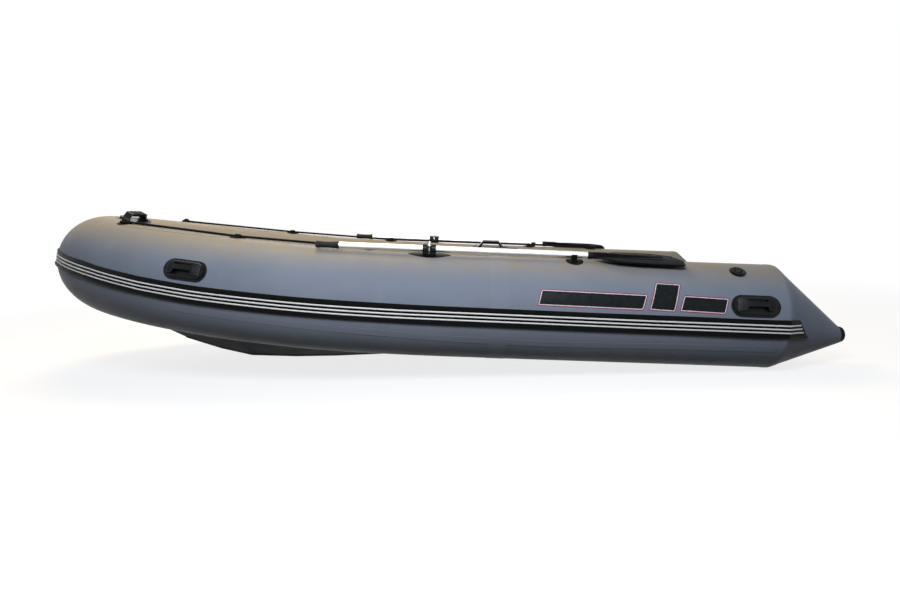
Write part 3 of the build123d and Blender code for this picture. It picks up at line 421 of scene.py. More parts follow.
RAKE = 0.0726              # rise of the tubes and the floor towards the bow, for each metre
SHEER = (-RAKE, 0, 1)
BOW_SLOPE = (-0.16, 0, 1)
floor_wood = film_faced("film_faced_floor_plywood", SHEER, 1.33)
bow_wood = film_faced("film_faced_bow_plywood", BOW_SLOPE, 1.33)
seat_wood = film_faced("film_faced_seat_plywood", SHEER, 1.4, False)
transom_wood = film_faced("film_faced_transom_plywood", (1, 0, 0), 2.5, False)
print("boards have a pressed mesh every", MESH_MM, "mm")

# %% [markdown]
# ** Braided rope.** The lifelines are plaited polyester. Each plait shows as a short slanted ridge,
# and the two families cross. On the rope's own UV map, which runs along it and round it, one
# family is a wave whose phase adds the two ways, and the other takes them apart. The ridges
# themselves are in the mesh; the material paints shade into the grooves between the plaits, with their crowns
# lighter, and adds fine filaments.
# Sixteen plaits are too fine to see, so eight are drawn.

# %% Rope
PLAITS, PLAIT_MM = 4, 10.0            # plaits of one family, and the length of a plait

rope, tree, shader, coords = new_material(
    "braided_polyester_rope", {"IOR": 1.5, "Specular IOR Level": 0.08, "Roughness": 0.7})
uv = add(tree, "UVMap", {"uv_map": "rope"})
where = add(tree, "SeparateXYZ", {0: uv})
way = add(tree, "Math", {"operation": "MULTIPLY", 0: where.outputs["X"], 1: 2 * pi / (PLAIT_MM * MM)})
families = []
for sign in (1, -1):
    phase = add(tree, "Math", {"operation": "MULTIPLY_ADD", 0: where.outputs["Y"], 1: sign * 2 * pi * PLAITS,
                               2: way})
    families.append(add(tree, "Math", {"operation": "SINE", 0: phase}))
# Painted shade: the grooves between the plaits are darker and their crowns lighter, following the mesh's ridges.
braid = add(tree, "Math", {"operation": "MAXIMUM", 0: families[0], 1: families[1]})
tone = add(tree, "Mix", {"data_type": "RGBA", 0: braid, 6: "#070707", 7: "#1b1b1c"})
feed(tree, shader, tone.outputs[2])
grain(tree, shader, mottle(tree, coords, 1.2, 3, 0, 1), 0.3, 0.2)
print("rope drawn with", 2 * PLAITS, "plaits")

# %% [markdown]
# Each CAD node gets the finish of its slot, apart from the boards, which go by the way they lie,
# the extruded strake, and the oars' grips, blades and shafts.

# %% Finish the CAD nodes
by_slot = {"tube_pvc": fabric, "bottom_pvc": bottom_fabric, "black_rubber": pad_rubber,
           "white_rubber": strake_white, "black_plastic": nylon, "plywood": floor_wood,
           "aluminium": section_metal, "stainless": stainless, "rope": rope}
by_node = {"rub_strake": strake_rubber, "bow_floorboard": bow_wood, "transom_board": transom_wood,
           "front_seat": seat_wood, "rear_seat": seat_wood}
for side, label in SIDES:
    for what, finish in (("grip", grips[label]), ("blade", blade_nylon), ("shaft", shaft_metal)):
        by_node[f"{label}_oar_{what}"] = finish

for part in frame["record"]["subparts"]:
    data = nodes[part["node"]].data
    data.materials.clear()
    data.materials.append(by_node.get(part["node"], by_slot[part["material_slot"]]))
print("finished", len(nodes), "CAD nodes")


# %% [markdown]
# ## Helpers for pieces
#
# A piece starts as a bmesh. One helper lathes a profile, for bolts and collars: a few points
# joined by edges, spun round the Z axis. Others make bars, pull a ring of edges on, for trims and
# sleeves, and mirror what is on both sides. The last turns a piece's faces outwards, marks its
# sharp edges and puts it on its body.

# %% Helpers for pieces
def frame_at(place, out, ahead):
    """Matrix at a place with its Z axis out and its X axis as near ahead as it can be."""
    z = out.normalized()
    x = (ahead - z * ahead.dot(z)).normalized()
    return axes_at(place, x, z.cross(x), z)


def merge_into(bm, part, matrix):
    """Adds a part's mesh to a bmesh at a place."""
    part.transform(matrix)
    carrier = bpy.data.meshes.new("carrier")
    part.to_mesh(carrier)
    part.free()
    bm.from_mesh(carrier)
    bpy.data.meshes.remove(carrier)


def lathe(bm, matrix, profile, steps=20):
    """Spins a profile of (radius, height) in millimetres round the matrix's Z axis."""
    part = bmesh.new()
    points = [part.verts.new((r * MM, 0, z * MM)) for r, z in profile]
    edges = [part.edges.new(pair) for pair in zip(points, points[1:])]
    bmesh.ops.spin(part, geom=points + edges, cent=(0, 0, 0), axis=(0, 0, 1), angle=2 * pi, steps=steps,
                   use_merge=True, use_duplicate=False)
    bmesh.ops.remove_doubles(part, verts=part.verts, dist=0.001 * MM)
    bmesh.ops.recalc_face_normals(part, faces=part.faces)
    merge_into(bm, part, matrix)


def bevelled_bar(bm, matrix, size, bevel=0.6):
    """Bar of a size in millimetres, centred on the matrix, its edges rounded."""
    part = bmesh.new()
    bmesh.ops.create_cube(part, size=1)
    bmesh.ops.scale(part, vec=[s * MM for s in size], verts=part.verts)
    bmesh.ops.bevel(part, geom=part.edges[:], offset=bevel * MM, segments=2, profile=0.5, affect="EDGES",
                    material=-1)
    merge_into(bm, part, matrix)


def pull(bm, ring, step, grow=1.0):
    """Extrudes a closed ring of edges by a step, scales the new ring and returns it."""
    grown = bmesh.ops.extrude_edge_only(bm, edges=ring)["geom"]
    verts = {g for g in grown if isinstance(g, bmesh.types.BMVert)}
    bmesh.ops.scale(bm, vec=(grow, grow, 1), verts=list(verts))
    bmesh.ops.translate(bm, vec=step, verts=list(verts))
    return [e for e in bm.edges if e.verts[0] in verts and e.verts[1] in verts]


def everything(bm):
    return bm.verts[:] + bm.edges[:] + bm.faces[:]


def add_other_side(bm):
    bmesh.ops.mirror(bm, geom=everything(bm), matrix=Matrix.Identity(4), merge_dist=0, axis="Y")


def make_piece(name, bm, finish, body="hull", sharp=35):
    """Object from a bmesh, on its body, with its faces outwards."""
    bmesh.ops.recalc_face_normals(bm, faces=bm.faces)
    mesh = bpy.data.meshes.new(name)
    bm.to_mesh(mesh)
    bm.free()
    for material in (finish if isinstance(finish, list) else [finish]):
        mesh.materials.append(material)
    mesh.polygons.foreach_set("use_smooth", [True] * len(mesh.polygons))
    mesh.set_sharp_from_angle(angle=radians(sharp))
    piece = show(name, mesh)
    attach(piece, body)
    print(name, len(mesh.polygons), "faces")
    return piece


# %% [markdown]
# ## Where the tubes run
#
# Tapes and plates need places on the tubes. The port tube's axis is straight, then a quarter of an
# ellipse, and bends down in the stern cone. A station is the way along it from amidships. From
# there a ray goes out at an angle from the crest, and where it meets the CAD tube is the place.

# %% Places on the tube
TUBE_Y = (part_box("port_side_tube")[0].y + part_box("port_side_tube")[1].y) / 2
TUBE_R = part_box("port_side_tube")[1].y - TUBE_Y
NOSE_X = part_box("bow_tube")[1].x
BOW_START, RISE_START = 0.255, 0.05
BOW_LONG = NOSE_X - TUBE_R - BOW_START
STATION_PER_TURN = 1.2     # metres of station for each radian of the bow's ellipse
CONE_START, CONE_END, CONE_END_Z = -1.7, -2.057, 0.149
MIDDLE_Z, BOW_RISE, RISE_POWER = 0.379, 0.114, 1.75


def axis_height(x):
    run = max(0.0, x - RISE_START) / (NOSE_X - TUBE_R - RISE_START)
    return MIDDLE_Z + RAKE * x + BOW_RISE * run ** RISE_POWER


def axis_point(s):
    if s < CONE_START:
        share = (CONE_START - s) / (CONE_START - CONE_END)
        return Vector((s, TUBE_Y, axis_height(CONE_START) * (1 - share) + CONE_END_Z * share))
    turn = max(0.0, s - BOW_START) / STATION_PER_TURN
    x = min(s, BOW_START) + BOW_LONG * sin(turn)
    return Vector((x, TUBE_Y * cos(turn), axis_height(x)))


def station_of(x):
    return x if x < BOW_START else BOW_START + STATION_PER_TURN * asin((x - BOW_START) / BOW_LONG)


shell = bmesh.new()
for name in ("bow_tube", "port_side_tube", "starboard_side_tube"):
    shell.from_mesh(nodes[name].data)
tubes = BVHTree.FromBMesh(shell)
shell.free()


def tube_place(s, angle, height_mm=0.0):
    """Place and outward direction on the port tube; the angle is from the crest, outboard positive."""
    middle = axis_point(s)
    ahead = max(s, CONE_START)             # on the cone the rays stay square to the straight tube
    along = (axis_point(ahead + MM) - axis_point(ahead)).normalized()
    outboard = UP.cross(along).normalized()
    out = outboard * sin(radians(angle)) + along.cross(outboard) * cos(radians(angle))
    hit = tubes.ray_cast(middle, out)[0]
    return hit + out * height_mm * MM, out


def on_tube(s, angle, height_mm=0.0):
    return tube_place(s, angle, height_mm)[0]


print("tube radius", round(TUBE_R, 4), "crest amidships", [round(v, 3) for v in on_tube(0, 0)])


# %% [markdown]
# ## Seam tapes
#
# The tubes are panels of fabric, lapped and welded, and a tape covers each lap: a hoop over the
# joints of the bow chamber with the side chambers, a hoop where each stern cone starts, a long one
# under the strake, and one along the crest of the bow. Each is a grid laid on the tube, then given
# a thickness.

# %% Lay a tape
TAPE_LIFT_MM, TAPE_T_MM = 0.35, 0.9


def lay(bm, at, cells, thickness_mm):
    """Grid laid by at(u, v), both from 0 to 1, which gives a place and its outward direction."""
    part = bmesh.new()
    bmesh.ops.create_grid(part, x_segments=cells[0], y_segments=cells[1], size=0.5)
    outs = {}
    for vert in part.verts:
        vert.co, outs[vert.index] = at(vert.co.x + 0.5, vert.co.y + 0.5)
    part.normal_update()
    part.faces.ensure_lookup_table()
    first = part.faces[0]
    if first.normal.dot(outs[first.verts[0].index]) < 0:
        bmesh.ops.reverse_faces(part, faces=part.faces)
    bmesh.ops.solidify(part, geom=part.faces[:], thickness=-thickness_mm * MM)
    merge_into(bm, part, Matrix.Identity(4))


def hoop(bm, s_from, s_to, angle_from, angle_to):
    """Tape round the tube, with a cell every four degrees."""
    def at(u, v):
        return tube_place(s_from + (s_to - s_from) * u, angle_from + (angle_to - angle_from) * v, TAPE_LIFT_MM)

    lay(bm, at, (4, max(2, int((angle_to - angle_from) / 4))), TAPE_T_MM)


def runner(bm, line, width, per_metre=14):
    """Tape of a width along (station, angle) points."""
    first, last = line[0][0], line[-1][0]

    def angle_at(s):
        for (s0, a0), (s1, a1) in zip(line, line[1:]):
            if s <= s1:
                break
        return a0 + (a1 - a0) * (s - s0) / (s1 - s0)

    def at(u, v):
        s = first + (last - first) * u
        return tube_place(s, angle_at(s) + degrees(width / TUBE_R) * (v - 0.5), TAPE_LIFT_MM)

    lay(bm, at, (max(4, int((last - first) * per_metre)), 2), TAPE_T_MM)


# %% Seam tapes of the tubes
LONG_TAPE, CREST_TAPE, BOTTOM_TAPE = 0.034, 0.026, 0.045     # widths

bm = bmesh.new()
for first, last in ((-8, 85), (-128, -35), (108, 196)):      # gaps for the strake and the inner handles
    hoop(bm, -0.402, -0.316, first, last)
hoop(bm, -1.726, -1.677, 108, 445)
runner(bm, [(-1.66, 120.5), (-1.22, 121.4), (-0.838, 123.2), (-0.572, 123.9), (-0.403, 123.0)], LONG_TAPE)
runner(bm, [(-0.315, 122.4), (-0.138, 121.3), (0.094, 118.2), (0.426, 114.5), (0.95, 109.5)], LONG_TAPE)
runner(bm, [(0.855, 6.0), (1.385, 13.0)], CREST_TAPE)
add_other_side(bm)
make_piece("tube_seam_tapes", bm, tape_fabric)

# %% [markdown]
# Under the boat a black tape seals the joint between each tube and the bottom. It takes the sand
# and slips of a beach, so it is wider than the others and made of the bottom's own fabric.

# %% Bottom tapes
bm = bmesh.new()
runner(bm, [(-1.5, 200), (0.3, 200), (1.05, 199)], BOTTOM_TAPE, 10)
add_other_side(bm)
make_piece("bottom_seam_tapes", bm, bottom_fabric)


# %% [markdown]
# ## Ribs of the rub strake
#
# Three white ribs are pushed through the strake's die together with its black web. They are narrow
# and round, so that a jetty touches only their crowns. Each is a grid rolled into a flat oval along
# the strake, sunk into its web by a third. The ribs stand for the CAD's flat bands.

# %% Ribs of the strake
RIB_ANGLES = ((-1.7, 96.6), (-1.0, 96.1), (0.32, 93.7), (1.02, 92.4), (1.26, 90.5), (1.46, 87.1),
              (1.84, 78.5))     # x, and degrees from the crest
RIB_PITCH_MM, RIB_HALF_MM, RIB_TOP_MM, RIB_ROOT_MM = 17.0, 3.6, 3.0, -1.2
RIB_END, RIB_END_SLANT, CONE_CLIMB = -1.776, 0.6, 40.0     # the climb is in degrees for each metre
RIB_CELLS, TAIL_CELLS, ROUND_CELLS = 114, 4, 12
WEB_MM = 3.7               # glue line and web of the strake
NOSE_STATION = BOW_START + STATION_PER_TURN * pi / 2


def rib_angle(s):
    x = axis_point(s).x
    if x <= RIB_ANGLES[0][0]:
        return RIB_ANGLES[0][1] - (RIB_ANGLES[0][0] - x) * CONE_CLIMB
    for (x0, a0), (x1, a1) in zip(RIB_ANGLES, RIB_ANGLES[1:]):
        if x <= x1:
            return a0 + (a1 - a0) * (x - x0) / (x1 - x0)
    return RIB_ANGLES[-1][1]


def web_place(s, offset_mm, height_mm):
    """Place over the strake's web, at an offset below its middle."""
    angle = rib_angle(s)
    around = (on_tube(s, angle) - axis_point(s)).length
    return on_tube(s, angle + degrees(offset_mm * MM / around), WEB_MM + height_mm)


def rib(bm, offset_mm):
    grid = bmesh.ops.create_grid(bm, x_segments=RIB_CELLS, y_segments=ROUND_CELLS, size=0.5)["verts"]
    first = RIB_END - offset_mm * MM * RIB_END_SLANT
    middle, half = (RIB_TOP_MM + RIB_ROOT_MM) / 2, (RIB_TOP_MM - RIB_ROOT_MM) / 2
    for vert in grid:
        cell = round((vert.co.x + 0.5) * RIB_CELLS)
        if cell <= TAIL_CELLS:             # one row of points lies right on the edge of the cone
            s = first + (CONE_START - first) * cell / TAIL_CELLS
        else:
            s = CONE_START + (NOSE_STATION - CONE_START) * (cell - TAIL_CELLS) / (RIB_CELLS - TAIL_CELLS)
        turn = (vert.co.y + 0.5) * 2 * pi
        vert.co = web_place(s, offset_mm + RIB_HALF_MM * cos(turn), middle + half * sin(turn))
    bmesh.ops.remove_doubles(bm, verts=grid, dist=0.01 * MM)


bm = bmesh.new()
for offset_mm in (-RIB_PITCH_MM, 0, RIB_PITCH_MM):
    rib(bm, offset_mm)
tails = [e for e in bm.edges if e.is_boundary and e.verts[0].co.x < 0]
bmesh.ops.holes_fill(bm, edges=tails)
add_other_side(bm)
bmesh.ops.remove_doubles(bm, verts=[v for v in bm.verts if abs(v.co.y) < 0.5 * MM], dist=0.3 * MM)
ribs = make_piece("strake_ribs", bm, strake_white)
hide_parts("strake_stripes")

# %% [markdown]
# ## Side plates
#
# Three flat plates of printed vinyl sit on the port side, above the strake. They are blank here:
# a black field in a white line and a red one. The outline is a slanted quadrilateral with bevelled
# corners. Insets draw the two lines, so they are real faces with clean edges. Cuts in both
# directions then let the sheet bend round the tube.

# %% Side plates
def vinyl(name, base, worn):
    """Printed, laminated vinyl film: smooth and glossy, with faint scratches."""
    return moulded(name, base, worn, 0.3, 6.0, 0.02, 0.12)


vinyls = [vinyl("black_vinyl_film", "#101516", "#171d1e"), vinyl("white_vinyl_film", "#e9e2e4", "#d9d0d3"),
          vinyl("red_vinyl_film", "#a03c58", "#8c3a50")]
LINES_MM = ((4.4, 2), (3.6, 1))       # widths of the red and the white line, with their materials
PLATE_CORNER, PLATE_LIFT_MM, PLATE_T_MM = 11 * MM, 0.75, 0.45
CUT_ROUND, CUT_ALONG = 9 * MM, 60 * MM
PLATES = {     # corners as (station, angle): upper fore, upper aft, lower aft, lower fore
    "long_side_plate": ((-0.548, 62.6), (-1.042, 64.6), (-1.019, 82.0), (-0.529, 80.6)),
    "tall_side_plate": ((-1.08, 50.2), (-1.199, 51.2), (-1.165, 82.6), (-1.043, 81.4)),
    "short_side_plate": ((-1.206, 64.0), (-1.417, 65.6), (-1.398, 83.2), (-1.183, 81.8)),
}


def side_plate(name, corners):
    part = bmesh.new()
    flat = [(s, -radians(angle) * TUBE_R) for s, angle in corners]
    part.faces.new([part.verts.new((x, y, 0)) for x, y in flat])
    bmesh.ops.bevel(part, geom=part.verts[:], offset=PLATE_CORNER, segments=5, profile=0.5, affect="VERTICES",
                    material=-1)
    faces = part.faces[:]
    for width_mm, material in LINES_MM:
        for face in bmesh.ops.inset_region(part, faces=faces, thickness=width_mm * MM, use_even_offset=True,
                                           use_boundary=True)["faces"]:
            face.material_index = material
    along, around = [v.co.x for v in part.verts], [y for _, y in flat]
    for direction, low, high, step in (((0, 1, 0), min(around), max(around), CUT_ROUND),
                                       ((1, 0, 0), min(along), max(along), CUT_ALONG)):
        cuts = int((high - low) / step)
        for i in range(1, cuts):
            at = low + (high - low) * i / cuts
            bmesh.ops.bisect_plane(part, geom=everything(part), plane_co=Vector(direction) * at,
                                   plane_no=direction)
    for vert in part.verts:
        vert.co = on_tube(vert.co.x, degrees(-vert.co.y / TUBE_R), PLATE_LIFT_MM)
    part.normal_update()
    if part.faces[:][len(part.faces) // 2].normal.y < 0:
        bmesh.ops.reverse_faces(part, faces=part.faces)
    bmesh.ops.solidify(part, geom=part.faces[:], thickness=PLATE_T_MM * MM)
    make_piece(name, part, vinyls, sharp=50)


for name, corners in PLATES.items():
    side_plate(name, corners)

# %% [markdown]
# ## Rowlock bolts
#
# Two stainless bolts run down through round ears of each yoke, one on either side of the shaft, and
# clamp its two halves. Each has a hexagonal head with a washer above, and a nut below. All are
# lathed, and six steps make a hexagon. They ride on their oar, so they turn with it.

# %% Rowlock bolts
BOLT_Y_MM = 21.5
EAR_Z_MM = (20, 47)


def oar_frame(x_mm, y_mm, z_mm):
    """Matrix at a place in the port oar's own directions: along it, outboard and up."""
    outboard = OAR_UP.cross(OAR_AHEAD)
    place = OAR_PLACE + (OAR_AHEAD * x_mm + outboard * y_mm + OAR_UP * z_mm) * MM
    return frame_at(place, OAR_UP, OAR_AHEAD)


def for_each_oar(name, build, finish):
    for side, label in SIDES:
        bm = bmesh.new()
        build(bm)
        bmesh.ops.scale(bm, vec=(1, side, 1), verts=bm.verts)
        make_piece(f"{label}_{name}", bm, finish, f"{label}_oar")


def yoke_bolts(bm):
    for y in (BOLT_Y_MM, -BOLT_Y_MM):
        foot = oar_frame(0, y, 0)
        lathe(bm, foot, [(0, 13), (3.6, 13), (3.6, 53), (0, 53)], 16)
        lathe(bm, foot, [(0, 52), (6.2, 52), (6.6, 52.6), (6.6, 57), (5.6, 58.2), (0, 58.6)], 6)
        lathe(bm, foot, [(0, 50.6), (8.2, 50.6), (8.6, 51.2), (8.2, 52), (0, 52)], 24)
        lathe(bm, foot, [(0, 12), (6.0, 12), (6.4, 12.6), (6.4, 17), (0, 17)], 6)


def yoke_ears(bm):
    for y in (BOLT_Y_MM, -BOLT_Y_MM):
        for z in EAR_Z_MM:
            lathe(bm, oar_frame(0, y, z),
                  [(0, -3.6), (7.6, -3.6), (8.6, -2.6), (8.6, 2.6), (7.6, 3.6), (0, 3.6)], 24)


for_each_oar("rowlock_bolts", yoke_bolts, stainless)
for_each_oar("yoke_ears", yoke_ears, nylon)

# %% [markdown]
# The blade is moulded with a bead round its outer edge and two low ribs beside its spine, which
# keep a thin plate stiff. Each is a curve with a round section, turned into a mesh and sunk halfway
# into the plate, whose cambered circle gives the height of each point. A grooved collar covers the
# joint of shaft and blade.

# %% Blade ribs and ferrule
CAMBER_MM = 420.0                     # radius
AXIS_MM, CROWN_MM = 30.0, 2           # height of the shaft over the pivot, and of the blade over the shaft
OUTER_BEAD = ((-842, 50), (-898, 72), (-1004, 82), (-1110, 84), (-1196, 86), (-1209, 78), (-1209, 48))
INNER_BEAD = ((-880, -52), (-900, -74), (-980, -76), (-1062, -76), (-1090, -68), (-1176, -16))
RIDGES = [((-872, y), (-960, y * 1.2), (-1060, y * 1.3), (-1130, y * 0.9 + 8)) for y in (26, -26)]


def curve_mesh(points, resolution, radius_mm=0.0, closed=False):
    """Mesh of the smooth curve that points draw: a line of edges, or a rod with closed ends."""
    curve = bpy.data.curves.new("line", "CURVE")
    curve.dimensions, curve.resolution_u, curve.use_fill_caps = "3D", resolution, True
    curve.bevel_depth, curve.bevel_resolution = radius_mm * MM, 2
    spline = curve.splines.new("NURBS")
    spline.points.add(len(points) - 1)
    for point, place in zip(spline.points, points):
        point.co = (*place, 1)
    spline.order_u, spline.use_endpoint_u, spline.use_cyclic_u = 3, not closed, closed
    holder = bpy.data.objects.new("line", curve)
    made = bpy.data.meshes.new_from_object(holder)
    bpy.data.objects.remove(holder)
    bpy.data.curves.remove(curve)
    return made


def on_blade(x_mm, y_mm):
    z = AXIS_MM + CROWN_MM - CAMBER_MM + sqrt(CAMBER_MM ** 2 - y_mm ** 2)
    return oar_frame(x_mm, y_mm, z).translation


def blade_ribs(bm):
    for line, radius_mm in ((OUTER_BEAD, 2.6), (INNER_BEAD, 2.6), (RIDGES[0], 1.8), (RIDGES[1], 1.8)):
        made = curve_mesh([on_blade(*point) for point in line], 6, radius_mm)
        bm.from_mesh(made)
        bpy.data.meshes.remove(made)


def ferrule(bm):
    """Collar with two grooves over the joint of shaft and blade."""
    along = frame_at(oar_frame(-786, 0, AXIS_MM).translation, OAR_AHEAD, OAR_UP)
    lathe(bm, along, [(15.2, 0), (17.6, 0.6), (18.2, 3), (18.2, 7), (17.2, 8), (17.2, 10), (18.2, 11),
                      (18.2, 15), (17.2, 16), (17.2, 18), (18.2, 19), (18.2, 22), (17, 24), (15.2, 24.4)], 32)


for_each_oar("blade_ribs", blade_ribs, blade_nylon)
for_each_oar("oar_ferrule", ferrule, nylon)

# %% [markdown]
# ## Handles
#
# The carrying handles on the sides end in two pads with moulded ribs, where the thumb pushes. A rib
# is a small bevelled bar, and takes its height from the strap's arc.

# %% Handle ribs
SIDE_HANDLES = ((station_of(-1.537), 73.3), (station_of(1.061), 67.0))
RIB_FIRST_MM, RIB_STEP_MM, RIBS = 58, 6, 5
PAD_MM, ARC_MM, STRAP_END_MM = 14, 17, 88       # height of the strap's ends, its rise, its half length
RIB_LEAN = 0.30

bm = bmesh.new()
for s, angle in SIDE_HANDLES:
    place, out = tube_place(s, angle)
    ahead = axis_point(s + MM) - axis_point(s)
    handle = frame_at(place, out, ahead)
    for end in (1, -1):
        lean = Matrix.Rotation(end * RIB_LEAN, 4, "Y")
        for i in range(RIBS):
            x = end * (RIB_FIRST_MM + RIB_STEP_MM * i)
            height = PAD_MM + ARC_MM * (1 - (x / STRAP_END_MM) ** 2)
            bevelled_bar(bm, handle @ Matrix.Translation((x * MM, -4 * MM, height * MM)) @ lean, (2.6, 46, 3.2))
add_other_side(bm)
make_piece("side_handle_ribs", bm, nylon)

# %% [markdown]
# The lifting handle over the nose has a ringed rubber sleeve that fills the hand. From a flat
# rounded outline, each ring is four pulls: out, along, in, and along to the next.

# %% Sleeve of the bow handle
NOSE_PLACE, NOSE_OUT = Vector((1.7045, 0, 0.84684)), Vector((-0.5, 0, 0.8660254))
SLEEVE_SIZE, SLEEVE_START, SLEEVE_LIFT = (18.6 * MM, 38 * MM, 1), -73 * MM, 47 * MM
SLEEVE_RINGS, RING_GROWTH = 14, 1.10

bm = bmesh.new()
part = bmesh.new()
bmesh.ops.create_grid(part, x_segments=1, y_segments=1, size=0.5)
bmesh.ops.scale(part, vec=SLEEVE_SIZE, verts=part.verts)
bmesh.ops.bevel(part, geom=part.verts[:], offset=6 * MM, segments=4, profile=0.5, affect="VERTICES",
                material=-1)
ring = part.edges[:]
for i in range(SLEEVE_RINGS):
    for grow, step_mm in ((RING_GROWTH, 0.8), (1.0, 5.6), (1 / RING_GROWTH, 0.8), (1.0, 3.2)):
        ring = pull(part, ring, (0, 0, step_mm * MM), grow)
bmesh.ops.holes_fill(part, edges=ring)
lengthwise = Matrix.Translation((SLEEVE_START, 0, SLEEVE_LIFT)) @ Matrix.Rotation(pi / 2, 4, "Y")
merge_into(bm, part, frame_at(NOSE_PLACE, NOSE_OUT, TO_PORT) @ lengthwise)
make_piece("bow_handle_sleeve", bm, pad_rubber)

# %% [markdown]
# ## Transom
#
# The motor hangs on the transom, so an aluminium channel keeps water out of the plies of its top
# edge. It is one section, extruded from corner to corner of the edge. Domed bolts hold the motor
# pads and the plates of the tow rings.

# %% Transom trim
board_low, board_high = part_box("transom_board")
fore_x, aft_x, crest = board_high.x, board_low.x, board_high.z
TRIM_T, TRIM_REACH, TRIM_GAP = 1.6 * MM, 16 * MM, 0.1 * MM
BOARD_HALF, SHOULDER_HALF, NOTCH_HALF, NOTCH_Z = 0.512, 0.430, 0.280, 0.412

edge = [(-BOARD_HALF, crest), (-SHOULDER_HALF, crest), (-NOTCH_HALF, NOTCH_Z), (NOTCH_HALF, NOTCH_Z),
        (SHOULDER_HALF, crest), (BOARD_HALF, crest)]
section = [(fore_x + TRIM_GAP, -TRIM_REACH), (fore_x + TRIM_GAP, TRIM_GAP), (aft_x - TRIM_GAP, TRIM_GAP),
           (aft_x - TRIM_GAP, -TRIM_REACH), (aft_x - TRIM_T, -TRIM_REACH), (aft_x - TRIM_T, TRIM_T),
           (fore_x + TRIM_T, TRIM_T), (fore_x + TRIM_T, -TRIM_REACH)]
bm = bmesh.new()
ring = bm.faces.new([bm.verts.new((x, edge[0][0], edge[0][1] + z)) for x, z in section]).edges[:]
for (y0, z0), (y1, z1) in zip(edge, edge[1:]):
    ring = pull(bm, ring, (0, y1 - y0, z1 - z0))
bmesh.ops.holes_fill(bm, edges=ring)
make_piece("transom_edge_trim", bm, section_metal)


# %% Transom bolts
PAD_BOLT_Y, PAD_BOLT_Z, PAD_T = 0.128, (NOTCH_Z - 0.036, NOTCH_Z - 0.198), 6 * MM
RING_BOLT_Y, RING_BOLT_REACH, RING_BOLT_Z, RING_PLATE_T = 0.330, 0.0255, 0.215, 4.3 * MM


def dome_bolt(bm, place, out, radius_mm=7.0, height_mm=4.0):
    """Washer with a domed head and a shallow socket."""
    r, h = radius_mm, height_mm
    lathe(bm, frame_at(place, out, TO_PORT),
          [(0, -0.5), (r * 1.25, -0.5), (r * 1.3, 0.2), (r * 1.22, 0.9), (r, 0.9), (r * 0.93, h * 0.55),
           (r * 0.7, h * 0.88), (r * 0.42, h), (r * 0.36, h * 0.55), (0, h * 0.5)])


bm = bmesh.new()
for y in (-PAD_BOLT_Y, PAD_BOLT_Y):
    for z in PAD_BOLT_Z:
        dome_bolt(bm, (fore_x + PAD_T, y, z), AHEAD)
        dome_bolt(bm, (aft_x - PAD_T, y, z), -AHEAD)
for side in (1, -1):
    for reach in (-RING_BOLT_REACH, RING_BOLT_REACH):
        dome_bolt(bm, (aft_x - RING_PLATE_T, side * RING_BOLT_Y + reach, RING_BOLT_Z), -AHEAD, 4.6, 3.0)
make_piece("transom_bolts", bm, stainless)

# %% [markdown]
# Short rivets hold the floor's aluminium sections to the boards, in even rows. Only their domed
# heads are made, with few faces each, since there are many.

# %% Floor rivets
JOINTS_X = (-0.863, -0.203, 0.457)    # the last joint's fore flange lies under the sloping bow board
FLANGE_X, STRINGER_Y, FLOOR_Z, SECTION_T = 0.0105, 0.4915, 0.201, 2.2 * MM
SLOPE = Vector(SHEER).normalized()


def rivet(x, y):
    lathe(bm, frame_at((x, y, FLOOR_Z + RAKE * x + SECTION_T), SLOPE, TO_PORT),
          [(4.2, -0.4), (4.2, 0.3), (3.2, 1.2), (1.4, 1.7), (0, 1.8)], 10)


bm = bmesh.new()
for joint_x in JOINTS_X:
    for y in (-0.42, -0.30, -0.18, -0.06, 0.06, 0.18, 0.30, 0.42):
        rivet(joint_x - FLANGE_X, y)
        if joint_x < JOINTS_X[-1]:
            rivet(joint_x + FLANGE_X, y)
for y in (-STRINGER_Y, STRINGER_Y):
    for i in range(10):
        rivet(-1.2 + 0.145 * i, y)
make_piece("floor_rivets", bm, section_metal)

# %% [markdown]
# ## Lifelines
#
# A lifeline is braided rope, held taut from holder to holder along the tube, so it bends only inside
# the holders. It starts aft in a stopper knot and ends in a spliced eye round its button. Its line
# is a spline with points close to each bend, where the rope is stiff. The skin is a grid wrapped
# round that line, and its radius rises and falls with the plaits, so the ridges are real.

# %% Lines of the rope
ROPE_R_MM, RIDGE_MM, RING_MM = 5.85, 0.55, 2.5
ROPE_ROUTE = ((-1.213, 0.6866, 0.5582), (0.182, 0.6866, 0.6606), (0.252, 0.6866, 0.6659), (0.321, 0.68, 0.6741),
              (0.842, 0.63, 0.7359), (0.9118, 0.6233, 0.7442), (0.979, 0.6039, 0.7541),
              (1.53803, 0.44268, 0.83653))


def spline_points(points, closed=False):
    """Places along the smooth curve that points draw."""
    made = curve_mesh(points, 16, closed=closed)
    places = [v.co.copy() for v in made.vertices]
    bpy.data.meshes.remove(made)
    return places + places[:1] if closed else places


def walk(line, distance):
    """Place and direction at a distance along a line of places."""
    for here, there in zip(line, line[1:]):
        step = (there - here).length
        if distance <= step or there is line[-1]:
            return here + (there - here) * min(1.0, distance / step), (there - here).normalized()
        distance -= step


def plaited(along, turn):
    """Radius in millimetres of the braid's skin at a way along it and round it."""
    way = 2 * pi * along / (PLAIT_MM * MM)
    return ROPE_R_MM + RIDGE_MM * max(sin(way + PLAITS * turn), sin(way - PLAITS * turn))


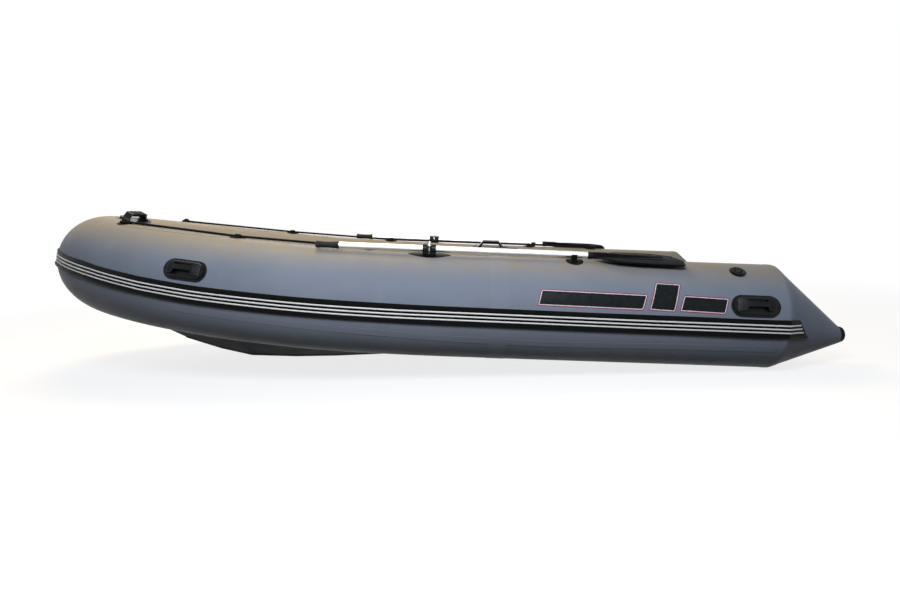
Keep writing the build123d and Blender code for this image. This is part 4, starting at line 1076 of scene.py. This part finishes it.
def wrap(bm, line, upwards, radius, closed=False, steps=20):
    """Skin round a line: a grid rolled up, its seam merged and its ends filled."""
    length = sum((b - a).length for a, b in zip(line, line[1:]))
    rings = int(length / (RING_MM * MM))
    grid = bmesh.ops.create_grid(bm, x_segments=rings, y_segments=steps, size=0.5)["verts"]
    uv = bm.loops.layers.uv.get("rope") or bm.loops.layers.uv.new("rope")
    for face in {f for v in grid for f in v.link_faces}:
        for loop in face.loops:
            loop[uv].uv = ((loop.vert.co.x + 0.5) * length, loop.vert.co.y + 0.5)
    for vert in grid:
        along, turn = (vert.co.x + 0.5) * length, (vert.co.y + 0.5) * 2 * pi
        place, ahead = walk(line, along)
        side = upwards.cross(ahead).normalized()
        vert.co = place + (side * sin(turn) + ahead.cross(side) * cos(turn)) * radius(along, turn) * MM
    bmesh.ops.remove_doubles(bm, verts=grid, dist=0.05 * MM)
    if not closed:
        bmesh.ops.holes_fill(bm, edges=[e for e in bm.edges if e.is_boundary])


route = spline_points(ROPE_ROUTE)
print("lifeline", round(sum((b - a).length for a, b in zip(route, route[1:])), 3), "m long")

# %% [markdown]
# The stopper knot is a short thick wrap whose ridge winds round it, and the eye is a closed ring of
# the same rope. A whipping of twine, lathed as a row of beads, ties the eye's splice.

# %% Ropes with their knots and eyes
EYE_CENTRE, EYE_UP = Vector((1.55482, 0.43221, 0.83939)), Vector((-0.0652, 0.1639, 0.9843))
EYE_REACH = 20.7 * MM      # a spline stays a little inside its points, so the eye's radius is 20 mm
KNOT_MM, KNOT_ROOT_MM, KNOT_SWELL_MM, KNOT_RIDGE_MM, KNOT_PITCH_MM = 40.0, 2.0, 7.2, 1.2, 11
TWINE_MM, TWINE_TURNS = 2.2, 9

eye_frame = frame_at(EYE_CENTRE, EYE_UP, AHEAD)
eye_ring = [eye_frame @ Vector((EYE_REACH * cos(pi * i / 6), EYE_REACH * sin(pi * i / 6), 0))
            for i in range(12)]


def knotted(along, turn):
    """Radius in millimetres of a stopper knot: the rope wrapped round itself, as a spiral ridge."""
    share = min(1.0, max(0.0, along / (KNOT_MM * MM)))
    ridge = abs(sin(pi * along / (KNOT_PITCH_MM * MM) + turn / 2))
    return KNOT_ROOT_MM + KNOT_SWELL_MM * sqrt(max(0.0, sin(pi * share))) + KNOT_RIDGE_MM * ridge


def lifeline():
    bm = bmesh.new()
    wrap(bm, route, UP, plaited)
    wrap(bm, spline_points(eye_ring, True), EYE_UP, plaited, True)
    ahead = (route[1] - route[0]).normalized()
    start = route[0] + ahead * 6 * MM + UP * 3 * MM
    wrap(bm, [start, start + ahead * KNOT_MM * MM], UP, knotted)
    beads = [(radius, at + TWINE_MM * i) for i in range(TWINE_TURNS)
             for radius, at in ((6.5, 0.4), (7.1, 1.1), (6.5, 1.8))]
    back = (route[-2] - route[-1]).normalized()
    lathe(bm, frame_at(route[-1] + back * 9 * MM, back, UP), [(5.6, 0), *beads, (5.6, 20.2)])
    return bm


for side, label in SIDES:
    bm = lifeline()
    bmesh.ops.scale(bm, vec=(1, side, 1), verts=bm.verts)
    piece = make_piece(f"{label}_braided_lifeline", bm, rope, sharp=60)
    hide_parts(f"{label}_lifeline")
